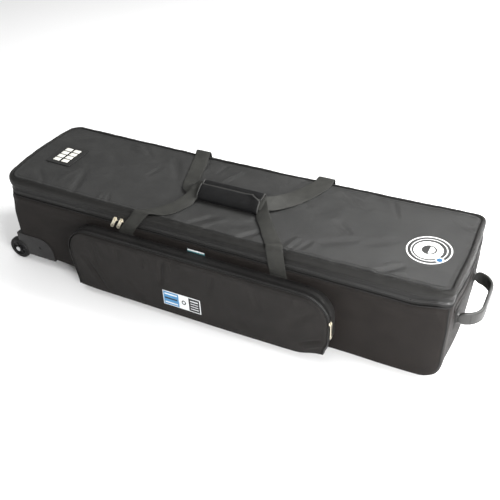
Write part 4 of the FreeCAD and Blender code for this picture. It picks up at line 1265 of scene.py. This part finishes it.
def pocket_front_place(u, v):
    """The pocket's whole front: rows up to the round corners, then along their arcs."""
    straight, arc_length = pocket_top - pocket_radius, pocket_radius * math.pi / 2
    run = v * (straight + arc_length)
    if run <= straight:
        z, drawn = run, 0
    else:
        angle = (run - straight) / pocket_radius
        z, drawn = straight + pocket_radius * math.sin(angle), pocket_radius * (1 - math.cos(angle))
    wide = pocket_right - pocket_left - 2 * drawn
    x = pocket_left + drawn + wide * u
    rim = min(u * wide, (1 - u) * wide, (pocket_top - z) * (1 if run > straight else 9), z + 0.004)
    roll = 0.0075 * (1 - smooth_step(0, 0.011, rim)) ** 1.5
    seam = -0.0010 * math.exp(-((rim - 0.0125) / 0.0016) ** 2)
    puffed = pocket_swell(x, z) * smooth_step(0.004, 0.03, rim)
    return Vector((x, pocket_front + roll - puffed - seam, max(z, 0.0012)))


front = sheet("pocket_front", 260, 76, (0.835, 0.245), pocket_front_place)
thicken(front)
dress(front, None, pocket_cloth, "pocket_cloth", "pocket_lower_front", "pocket_flap")
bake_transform(front)


def pocket_out(u):
    """Out of the pocket's outline, seen from the front."""
    run = heading(pocket_track, u)
    return Vector((-run.z, 0, run.x))


def gusset_place(front_edge, back, first=0.0, last=1.0):
    """Moves a flat sheet to the pocket's gusset, between two shares of its outline."""
    def place(u, v):
        share = first + (last - first) * u
        point = walk(pocket_track, share)
        point.y = front_edge + (back - front_edge) * v
        swell = 0.0011 * math.sin(math.pi * v) + 0.0008 * lump((point.x, point.y * 2, point.z), 0.05, 44)
        return point + pocket_out(share) * swell * math.sin(math.pi * v)
    return place


gusset = [sheet("gusset", 300, 14, (pocket_length, 0.03), gusset_place(-0.2062, front_y - 0.0006)),
          sheet("gusset low left", 40, 8, (0.118, 0.02), gusset_place(-0.2262, -0.2066, 0.0, zip_from)),
          sheet("gusset low right", 40, 8, (0.118, 0.02), gusset_place(-0.2262, -0.2066, zip_to, 1.0))]
gusset.append(sheet("pocket floor", 200, 12, (0.83, 0.048),
                    lambda u, v: Vector((pocket_left + 0.002 + (pocket_right - pocket_left - 0.004) * u,
                                         front_y - 0.0012 - 0.0465 * v, 0.0016))))
gusset_piece = join("pocket_gusset_cloth", gusset)
thicken(gusset_piece)
# The gusset wears the pocket cloth's lighter copy, painted as if lit.
dress(gusset_piece, "case", lit_gusset_cloth, "pocket_cloth", "pocket_gusset", angle=50)


def pocket_zip_at(u, out, across):
    """A point along the pocket's zip: out of the tape, and towards the front by its depth."""
    share = zip_from + (zip_to - zip_from) * u
    point = walk(pocket_track, share)
    point.y = across + 0.0006 * lump((point.x, 0, point.z), 0.035, 45)
    return point + pocket_out(share) * (out - 0.0004)


pocket_zip_length = pocket_length * (zip_to - zip_from)
pocket_coil_wide = 0.0030
for half, sign, reach, body, node in (("gusset", 1, 0.0120, "case", "pocket_gusset_zip"),
                                      ("flap", -1, 0.0085, "pocket_flap", "pocket_flap_zip")):
    near = pocket_split + sign * coil_gap
    low, high = sorted((near, pocket_split + sign * reach))
    coil_low, coil_high = sorted((near, near + sign * pocket_coil_wide))
    tape = sheet("pocket_tape_" + half, 300, 4, (pocket_zip_length, high - low),
                 lambda u, v, low=low, high=high: pocket_zip_at(u, 0, high + (low - high) * v))
    turn_weave(tape)
    thicken(tape, 0.0007)
    dress(tape, body, tape_cloth, "zip_tape", node, angle=60)
    zip_coil("pocket_coil_" + half,
             lambda u, out, across, a=coil_high, b=coil_low: pocket_zip_at(u, out, a + (b - a) * across),
             pocket_zip_length, 0, 1, body, "zip_tape", pitch=0.0019, depth=0.0015)


def front_row(keep):
    """A row of stitches beside the pocket's rim, where keep(point) says so."""
    return [(Vector((point.x, pocket_front - pocket_swell(point.x, point.z) - 0.0004, point.z)),
             Vector((0, -1, 0))) for point in pocket_line(0.0125) if keep(point)]


stitches("pocket_flap_stitches", "pocket_flap", "pocket_cloth", [front_row(lambda p: p.z > 0.128)])
stitches("pocket_low_stitches", "case", "pocket_cloth",
         [front_row(lambda p, side=side: p.z < 0.109 and p.x * side > 0) for side in (-1, 1)])


# Labels, the plate with blank cells and the round emblem

def painted(piece, choose, *finishes):
    """Give each face the finish that choose(u, v) picks from its place on the UV map."""
    mesh = piece.data
    mesh.materials.clear()
    for finish in finishes:
        mesh.materials.append(finish)
    layer = mesh.uv_layers[0].data
    for face in mesh.polygons:
        uvs = [layer[index].uv for index in face.loop_indices]
        face.material_index = choose(sum(uv[0] for uv in uvs) / len(uvs), sum(uv[1] for uv in uvs) / len(uvs))


label_left, label_low, label_long, label_high = -0.109, 0.033, 0.124, 0.045


def label_place(u, v):
    x, z = label_left + label_long * u, label_low + label_high * v
    hem = 0.0004 * (1 - smooth_step(0, 0.03, min(u, 1 - u)) * smooth_step(0, 0.08, min(v, 1 - v)))
    return Vector((x, pocket_front - pocket_swell(x, z) - 0.0010 + hem, z))


def label_design(x, y):
    """A blue field with bars, a pale one with a dark ring and a black one with bars."""
    blue, white, black = range(3)
    u, v = x / label_long, y / label_high
    if min(u, 1 - u) < 0.015 or min(v, 1 - v) < 0.04:
        return white
    if u < 0.43:
        if not 0.05 < u < 0.39:
            return blue
        if abs(v - 0.50) < 0.055:
            return black
        return white if min(abs(v - 0.20), abs(v - 0.80)) < 0.050 else blue
    if u < 0.69:
        away = math.hypot((u - 0.56) * label_long, (v - 0.5) * label_high)
        return black if 0.0040 < away < 0.0072 else white
    barred = any(abs(v - bar) < 0.030 for bar in (0.22, 0.40, 0.58, 0.76))
    return white if barred and 0.74 < u < 0.94 else black


label = sheet("pocket_woven_label", 124, 45, (label_long, label_high), label_place)
thicken(label, 0.0007)
painted(label, label_design, label_blue, label_white, label_black)
dress(label, "case", None, "woven_label", "pocket_label", angle=50)

tab_left, tab_low, tab_long, tab_high = -0.0395, 0.2006, 0.055, 0.0105


def tab_place(u, v):
    x, z = tab_left + tab_long * u, tab_low + tab_high * v
    return Vector((x, front_y - 0.0022 - 0.0006 * math.sin(math.pi * v), z))


tab = sheet("zip_tab_label", 55, 12, (tab_long, 0.011), tab_place)
thicken(tab, 0.0007)
painted(tab, lambda x, y: 1 if 0.001 < x < 0.054 and y > 0.0045 else 0, label_teal, label_white)
dress(tab, "case", None, "woven_tab", "tab_label", angle=50)

plate_x, plate_long, plate_wide = -0.577, 0.092, 0.104


def seat_on_lid(piece, lift):
    """Lower a flat piece that was made about Z = 0 onto the sagging lid."""
    for vertex in piece.data.vertices:
        vertex.co.z += lid_height(vertex.co.x) + lift
    return piece


frame_plate = plate("label_frame", [rounded_outline(plate_long, plate_wide, 0.006)], 0.0024, 0.0007,
                    Matrix.Translation((plate_x, 0, 0)))
seat_on_lid(frame_plate, 0.0017)
dress(frame_plate, "lid", plate_plastic, "plate_plastic", "id_plate", angle=40)
cells = []
for column in (-0.5, 0.5):
    for row in (-1.5, -0.5, 0.5, 1.5):
        spot = Matrix.Translation((plate_x + column * 0.031, row * 0.020, 0))
        cell = plate("cell", [rounded_outline(0.0235, 0.0155, 0.0015)], 0.0009, 0.0002, spot)
        cells.append(seat_on_lid(cell, 0.0031))
dress(join("blank_cells", cells), "lid", cell_white, "cell_white", "id_cells", angle=40)

emblem_x, emblem_y, emblem_radius = 0.590, -0.027, 0.0580


def emblem_place(u, v):
    angle, radius = 2 * math.pi * u, emblem_radius * v
    x, y = emblem_x + radius * math.cos(angle), emblem_y + radius * math.sin(angle)
    return Vector((x, y, lid_top(x, y) + 0.0007))


def emblem_design(x, y):
    """Plain rings round a pale disc with a half-filled dot, and a small blue spot: a roundel, no more."""
    pale, blue, dark = range(3)
    turn, away = 2 * math.pi * x, y
    px, py = away * math.cos(turn), away * math.sin(turn)
    spot = math.hypot(px - 0.60, py + 0.55)
    if spot < 0.19:
        return blue if spot < 0.13 else pale
    if away > 0.765:
        return dark if 0.80 < away <= 0.945 else pale
    if math.hypot(px + 0.03, py + 0.03) > 0.64:
        return dark
    if away < 0.26:
        return dark if px < 0 else pale
    return dark if away < 0.33 else pale


emblem = sheet("round_emblem", 216, 66, (1, 1), emblem_place)
edit_all(emblem, merge_doubles(0.00001))
painted(emblem, emblem_design, emblem_light, emblem_blue, emblem_dark)
finish_with(emblem, "SOLIDIFY", thickness=0.0004, offset=1)
dress(emblem, "lid", None, "emblem_print", "lid_emblem", angle=50)


# Sliders and pulls of plated metal

def slider(name, place, turn, opens_up):
    """A zip slider at the origin in front of the plane Y = 0: plate, bail and wings."""
    upright = Matrix.Rotation(math.pi / 2, 4, "X")
    long, high, rise = (0.011, 0.012, 0.0070) if opens_up else (0.012, 0.011, 0.0060)
    arch = [Vector((0, -0.0032, 0.0052)), Vector((0, -rise, 0.0044)), Vector((0, -rise - 0.0006, 0.0015)),
            Vector((0, -rise, -0.0014)), Vector((0, -0.0032, -0.0022))]
    parts = [plate("slider", [rounded_outline(long, high, 0.0032)], 0.0014, 0.0005,
                   Matrix.Translation((0, -0.0028, 0)) @ upright),
             bead("bail", curved(arch, 6), 0.0008)]
    wing = (long * 0.9, 0.0016) if opens_up else (0.0016, high * 0.9)
    for side in (-0.0051, 0.0051):
        spot = (0, -0.0013, side) if opens_up else (side, -0.0013, 0)
        parts.append(plate("wing", [rounded_outline(*wing, 0.0007)], 0.0018, 0.0003,
                           Matrix.Translation(spot) @ upright))
    piece = join(name, parts)
    piece.data.transform(Matrix.Translation(place) @ Matrix.Rotation(turn, 4, "Z"))
    return piece


def pull(name, place, turn, tilt, length, depth):
    """A pull with a wide eye above and a long slot in its round tail."""
    top, r = 0.0023, 0.0055
    turns = [math.pi * i / 12 for i in range(13)]
    outline = [(r * math.cos(a), top - r + r * math.sin(a)) for a in turns]
    waist = [(-0.0046, top - 0.013), (-0.0050, top - length + 0.016)]
    outline += waist
    outline += [(-r * math.cos(a), top - length + r - r * math.sin(a)) for a in turns]
    outline += [(-x, z) for x, z in reversed(waist)]
    eye = [(x, top - 0.0047 + z) for x, z in rounded_outline(0.0046, 0.0056, 0.0020)]
    slot = [(x, top - length + 0.0072 + z) for x, z in rounded_outline(0.0028, 0.0048, 0.0013)]
    piece = plate(name, [outline, eye, slot], 0.0018, 0.0005,
                  Matrix.Translation((0, -depth, 0)) @ Matrix.Rotation(math.pi / 2, 4, "X"))
    eye_height = Vector((0, 0, 0.0015))
    lean = Matrix.Translation(eye_height) @ Matrix.Rotation(tilt, 4, "Y") @ Matrix.Translation(-eye_height)
    piece.data.transform(Matrix.Translation(place) @ Matrix.Rotation(turn, 4, "Z") @ lean)
    return piece


for side, nodes, place, turn, tilt, length, depth in (
        ("left", "main_%s_left", (-0.274, front_y, zip_height), 0, math.radians(30), 0.037, 0.0055),
        ("right", "main_%s_right", (-0.253, front_y, zip_height), 0, math.radians(30), 0.037, 0.0055),
        ("pocket", "pocket_%s", (pocket_right, pocket_split, 0.126), math.pi / 2, 0, 0.056, 0.0050)):
    dress(slider("slider_" + side, place, turn, side != "pocket"), side + "_slider", pull_metal, "pull_metal",
          nodes % "slider", angle=40)
    dress(pull("pull_" + side, place, turn, tilt, length, depth), side + "_pull", pull_metal, "pull_metal",
          nodes % "pull", angle=40)


# The tow handle, its patches and the band above them

tow_height, tow_hinge, tow_outer, tow_half = 0.150, 0.71455, 0.754, 0.095
tow_band, tow_thick, tow_round = 0.039, 0.011, 0.055
patch_y, patch_wide, patch_high = 0.0895, 0.058, 0.064
patch_face, patch_thick = 0.6921, 0.0085
band_half, band_low, band_high = 0.130, 0.184, 0.018


def tow_line():
    """The middle line of the loop's band, seen from above, from end to end."""
    r = tow_round - tow_thick / 2
    cx, cy = tow_outer - tow_round, tow_half - tow_round
    start = tow_hinge - tow_band / 2
    points = [Vector((start, -tow_half + tow_thick / 2, 0)), Vector((cx, -tow_half + tow_thick / 2, 0))]
    points += arc(cx, -cy, r, -math.pi / 2, 0, 14)[1:]
    points += arc(cx, cy, r, 0, math.pi / 2, 14)
    points.append(Vector((start, tow_half - tow_thick / 2, 0)))
    return measured(points)


def tow_place(track):
    length = track[1][-1]

    def place(u, v):
        point, run = walk(track, v), heading(track, v, 0.004)
        out = Vector((run.y, -run.x, 0))
        turn = 2 * math.pi * u
        end = min(v, 1 - v) * length
        reach = tow_band / 2
        tall = math.sqrt(max(reach ** 2 - (reach - end) ** 2, 0)) if end < reach else reach
        tall = max(tall, 0.0004)
        wide, high = squeezed(math.sin(turn), 0.55), squeezed(math.cos(turn), 0.42)
        middle = 1 - abs(2 * v - 1) ** 3
        swell = 1 - 0.12 * abs(math.cos(turn)) ** 3
        dip = -0.0007 * math.exp(-((abs(high) - 0.55) / 0.12) ** 2) * middle * (1 if wide > 0.8 else 0)
        thick = tow_thick / 2 * (0.86 if end < 0.03 else 1.0) * swell
        return point + out * (wide * thick + dip) + Vector((0, 0, tow_height + high * tall))
    return place


tow_track = tow_line()
handle = sheet("tow_loop", 36, 150, (0.1, 0.3), tow_place(tow_track))
edit_all(handle, merge_doubles(0.00003), fill_holes(), outward())
dress(handle, "tow_handle", tow_rubber, "moulded_rubber", "tow_handle")


def end_face_x(y):
    return end_centre_x + math.sqrt(end_radius ** 2 - y ** 2)


def patch_x(y):
    """The patch lies flat behind the loop's end and falls back to the wall outside it."""
    fall = smooth_step(0.0985, 0.1150, abs(y))
    return patch_face + (end_face_x(y) + 0.0016 - patch_face) * fall


def patch(sign):
    """One stitched cloth patch behind the loop's end, with a soft rim."""
    def place(u, v):
        y = sign * patch_y + (u - 0.5) * patch_wide
        z = tow_height + (v - 0.5) * patch_high
        rim = min(min(u, 1 - u) * patch_wide, min(v, 1 - v) * patch_high)
        x = patch_x(y) - 0.0022 * (1 - smooth_step(0, 0.004, rim)) + 0.0004 * lump((y, z, 0), 0.02, 51)
        return Vector((x, y, z))
    piece = sheet("patch", 40, 44, (patch_wide, patch_high), place)
    thicken(piece, patch_thick)
    return piece


patch_pair = join("tow_patch_pair", [patch(-1), patch(1)])
dress(patch_pair, "case", patch_cloth, "patch_cloth", "tow_patches", angle=50)


def square_rows(sign):
    """Stitch rows in a square on one patch, 4 mm in from its rim."""
    wide, high = patch_wide / 2 - 0.004, patch_high / 2 - 0.004
    corners = [Vector((0, sign * patch_y + dy * wide, tow_height + dz * high))
               for dy, dz in ((-1, -1), (1, -1), (1, 1), (-1, 1))]
    rows = []
    for a, b in zip(corners, corners[1:] + corners[:1]):
        spots = [a.lerp(b, i / 12) for i in range(13)]
        rows.append([(Vector((patch_x(p.y) + 0.0004, p.y, p.z)), Vector((1, 0, 0))) for p in spots])
    return rows


stitches("tow_patch_stitches", "case", "patch_cloth",
         [row for sign in (-1, 1) for row in square_rows(sign)], pitch=0.0040)


def cradle(sign):
    """The moulded seat behind one end of the loop, hollowed so that the loop can turn in it."""
    reach, tall = 0.0200, 0.0120
    spread = math.asin(tall / reach)
    outline = [(reach * math.cos(a), reach * math.sin(a))
               for a in (math.pi - spread + 2 * spread * i / 20 for i in range(21))]
    back = 0.6905 - tow_hinge
    outline += [(back, -tall - 0.0040), (back, tall + 0.0040)]
    place = Matrix.Translation((tow_hinge, sign * patch_y, tow_height)) @ Matrix.Rotation(math.pi / 2, 4, "X")
    return plate("cradle", [outline], 0.0125, 0.0008, place)


dress(join("tow_cradles", [cradle(-1), cradle(1)]), "case", tow_rubber, "moulded_rubber", angle=40)


def band_place(u, v):
    y = band_half * (2 * u - 1)
    rim = min(v, 1 - v) * band_high
    x = end_face_x(y) + 0.0018 + 0.0006 * smooth_step(0, 0.003, rim)
    return Vector((x, y, band_low + band_high * v))


band = sheet("end_band_webbing", 120, 8, (2 * band_half, band_high), band_place)
turn_weave(band)
thicken(band, 0.0018)
dress(band, "case", band_cloth, "shell_cloth", "end_band", angle=50)
band_rows = [[(band_place(i / 40, share) + Vector((0.0002, 0, 0)), Vector((1, 0, 0))) for i in range(41)]
             for share in (0.14, 0.86)]
stitches("end_band_stitches", "case", "shell_cloth", band_rows, pitch=0.0042)


# Wheels, axles and housings

axle = Vector((-0.707, 0, 0.006))
wheel_face = 0.177


def wheel(name, sign, body):
    """A solid tyre with a rounded tread on a dished hub with ribs."""
    def across(depth):
        return sign * wheel_face - sign * depth

    tyre = [(0.0268, 0.0018), (0.0285, 0.0005), (0.0320, 0.0006), (0.0352, 0.0022),
            (0.0370, 0.0056), (0.0375, 0.0095), (0.0375, 0.0145), (0.0370, 0.0184),
            (0.0352, 0.0218), (0.0320, 0.0234), (0.0285, 0.0235), (0.0268, 0.0222)]
    hub = [(0.0043, 0.0008), (0.0088, 0.0004), (0.0097, 0.0012), (0.0104, 0.0062),
           (0.0150, 0.0072), (0.0205, 0.0068), (0.0228, 0.0052), (0.0236, 0.0012),
           (0.0248, 0.0004), (0.0264, 0.0010), (0.0265, 0.0230), (0.0236, 0.0232),
           (0.0225, 0.0180), (0.0104, 0.0175), (0.0097, 0.0232), (0.0043, 0.0236)]
    tyre_piece = turned(name + "_tyre", [(radius, across(depth)) for radius, depth in tyre], axle, 72)
    hub_piece = turned(name + "_hub", [(radius, across(depth)) for radius, depth in hub], axle, 72)
    ribs = []
    for index in range(6):
        rib = box("rib", (0, 0, 0), (0.0125, 0.0030, 0.0024))
        finish_with(rib, "BEVEL", width=0.0006, segments=2)
        rib.data.transform(Matrix.Translation((0.0163, 0, 0)))
        rib.data.transform(Matrix.Translation((axle.x, across(0.0056), axle.z))
                           @ Matrix.Rotation(index * math.pi / 3, 4, "Y"))
        ribs.append(rib)
    hub_piece = join(name + "_hub", [hub_piece] + ribs)
    dress(tyre_piece, body, tyre_rubber, "wheel_tyre", "tyre_" + name, angle=40)
    dress(hub_piece, body, hub_plastic, "wheel_hub", "hub_" + name, angle=40)


wheel("front", -1, "front_wheel")
wheel("rear", 1, "rear_wheel")


def housing(name, sign):
    """A moulded corner with an arch over the wheel, a lip round the arch and a cheek for the axle."""
    left, right, high = -0.692, -0.555, 0.078
    face, back = 0.180, 0.116
    arch_radius, arch_depth, lip_radius = 0.0415, 0.0275, 0.0430
    block = box("block", ((left + right) / 2, -(face + back) / 2, high / 2),
                (right - left, face - back, high))
    round_shoulder(block, 0.050, 16)
    clean_selection()
    bpy.ops.mesh.primitive_cylinder_add(vertices=72, radius=arch_radius, depth=arch_depth * 2,
                                        location=(axle.x, -face, axle.z), rotation=(math.pi / 2, 0, 0))
    arch = bpy.context.object
    hollow = box("hollow", (-0.6130, -0.1290, 0.0385), (0.104, 0.034, 0.066))
    for cutting in (arch, hollow):
        cut_out(block, cutting)
        bpy.data.objects.remove(cutting)
    finish_with(block, "BEVEL", width=0.0022, segments=3, limit_method="ANGLE", angle_limit=math.radians(35))
    lip = [Vector((axle.x + lip_radius * math.cos(a), -face - 0.0002, axle.z + lip_radius * math.sin(a)))
           for a in (math.radians(-6 + i * 76 / 40) for i in range(41))]
    lip = [p for p in lip if p.x > left + 0.001]
    rim = bead("arch lip", lip, 0.0016)
    bore = turned("axle boss", [(0.0045, -0.1525), (0.0130, -0.1525), (0.0150, -0.1505), (0.0150, -0.1455),
                                (0.0045, -0.1455)], Vector((axle.x, 0, axle.z)), 40)
    piece = join(name, [block, rim, bore])
    if sign > 0:
        piece.data.transform(Matrix.Scale(-1, 4, (0, 1, 0)))
        piece.data.flip_normals()
    return dress(piece, "case", housing_plastic, "housing_plastic",
                 "wheel_housing_" + ("front", "rear")[sign > 0], angle=35)


housing("housing_front", -1)
housing("housing_rear", 1)


# The soft cloth hangs a little between the wheels and the feet, and the pocket's lower corners draw in

def hang(point, pocket=False):
    x, y, z = point
    low = 1 - smooth_step(0, 0.118, z)
    drop = 0.013 * smooth_step(-0.56, -0.36, x) * (1 - 0.4 * smooth_step(0.05, 0.40, x))
    moved = Vector((x, y, z - drop * low))
    if pocket:
        tuck = smooth_step(0.30, 0.40, x) * (1 - smooth_step(0.0, 0.075, z))
        moved.x += -0.016 * tuck + 0.013 * (1 - smooth_step(-0.43, -0.30, x)) * (1 - smooth_step(0, 0.11, z))
        moved.z += 0.012 * tuck
        moved.y += 0.006 * tuck
    return moved


for name in ("wall_front", "wall_right", "wall_rear", "underside"):
    for vertex in bpy.data.objects[name].data.vertices:
        vertex.co = hang(vertex.co)
for name in ("pocket_front", "pocket_gusset_cloth", "pocket_woven_label", "pocket_low_stitches"):
    for vertex in bpy.data.objects[name].data.vertices:
        vertex.co = hang(vertex.co, True)


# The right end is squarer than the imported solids: its corners stand out more, most of all at the lid,
# and the zip climbs where it rounds the front corner

corner_x, corner_y = corner_centre(corner_radius)


def square_up(point):
    x, y, z = point
    across, along = x - corner_x, abs(y) - corner_y
    reach = math.hypot(across, along)
    if across > 0 and along > 0 and reach > 0:
        cosine, sine = across / reach, along / reach
        square = corner_radius / max(cosine, sine)
        rounder = corner_radius / (cosine ** 3 + sine ** 3) ** (1 / 3)
        room = (square - reach) / max(square - corner_radius, 0.0001)
        stretch = (rounder - corner_radius) * min(reach / corner_radius, 1) ** 2 * min(max(room, 0), 1)
        x += stretch * cosine
        y += math.copysign(stretch * sine, y)
    push = 0.006 + 0.008 * smooth_step(0.03, 0.26, z)
    x += push * smooth_step(0.59, 0.67, x) * min(abs(y) / half_width, 1) ** 3
    front_corner = smooth_step(0.592, 0.672, x) * (1 - smooth_step(-0.135, -0.020, y))
    z += 0.014 * front_corner * smooth_step(0.07, 0.22, z) * (1 - smooth_step(0.262, 0.291, z))
    return Vector((x, y, z))


solids = set(frame["nodes"].values())
stiff = ("tow_loop", "tow_cradles", "round_emblem")
for piece in bpy.context.scene.objects:
    if piece.type == "MESH" and piece not in solids and piece.name not in stiff:
        for vertex in piece.data.vertices:
            if vertex.co.x > 0.59:
                vertex.co = square_up(vertex.co)


# Camera, light and floor
camera_place = Vector((0.8973, -1.5319, 1.4347))
azimuth, elevation, roll = math.radians(28.67), math.radians(37.23), math.radians(-3.15)


def place_camera():
    data = bpy.data.cameras.new("camera")
    data.lens, data.sensor_width = 53.09, 36
    data.clip_start = 0.05
    camera = added("camera", data)
    back = Vector((math.sin(azimuth) * math.cos(elevation), -math.cos(azimuth) * math.cos(elevation),
                   math.sin(elevation)))
    right = Vector((math.cos(azimuth), math.sin(azimuth), 0))
    up = back.cross(right)
    turned_right = right * math.cos(roll) + up * math.sin(roll)
    turned_up = up * math.cos(roll) - right * math.sin(roll)
    frame_axes = Matrix((turned_right, turned_up, back)).transposed().to_4x4()
    camera.matrix_world = Matrix.Translation(camera_place) @ frame_axes
    bpy.context.scene.camera = camera


def soft_light(name, place, target, size, power):
    data = bpy.data.lights.new(name, "AREA")
    data.shape, data.size, data.size_y = "RECTANGLE", size[0], size[1]
    data.energy = power
    lamp = added(name, data)
    direction = Vector(target) - Vector(place)
    lamp.rotation_euler = direction.to_track_quat("-Z", "Y").to_euler()
    lamp.location = place


def studio():
    clean_selection()
    bpy.ops.mesh.primitive_grid_add(x_subdivisions=8, y_subdivisions=8, size=1)
    floor = bpy.context.object
    floor.name = "floor"
    for vertex in floor.data.vertices:
        vertex.co = (vertex.co.x * 16, vertex.co.y * 16, -0.0317)
    made, add, feed = material("floor")
    uneven_colour(add, feed, (0.93, 0.93, 0.93), 2.0, 0.99, 1.0)
    feed({"Roughness": 0.9})
    floor.data.materials.append(made)
    world = bpy.data.worlds.new("studio")
    world.use_nodes = True
    background = world.node_tree.nodes["Background"]
    background.inputs["Color"].default_value = (1, 1, 1, 1)
    background.inputs["Strength"].default_value = 0.42
    bpy.context.scene.world = world
    bpy.context.scene.view_settings.view_transform = "Standard"
    soft_light("key", (1.6, 1.0, 1.9), (0.3, 0, 0.2), (1.3, 1.0), 165)
    soft_light("side", (2.0, -1.6, 0.9), (0.4, 0, 0.1), (1.2, 0.9), 110)
    soft_light("overhead", (-0.6, -0.3, 3.4), (-0.2, 0, 0), (4.0, 3.0), 55)


place_camera()
studio()

bpy.data.objects.remove(cutter)
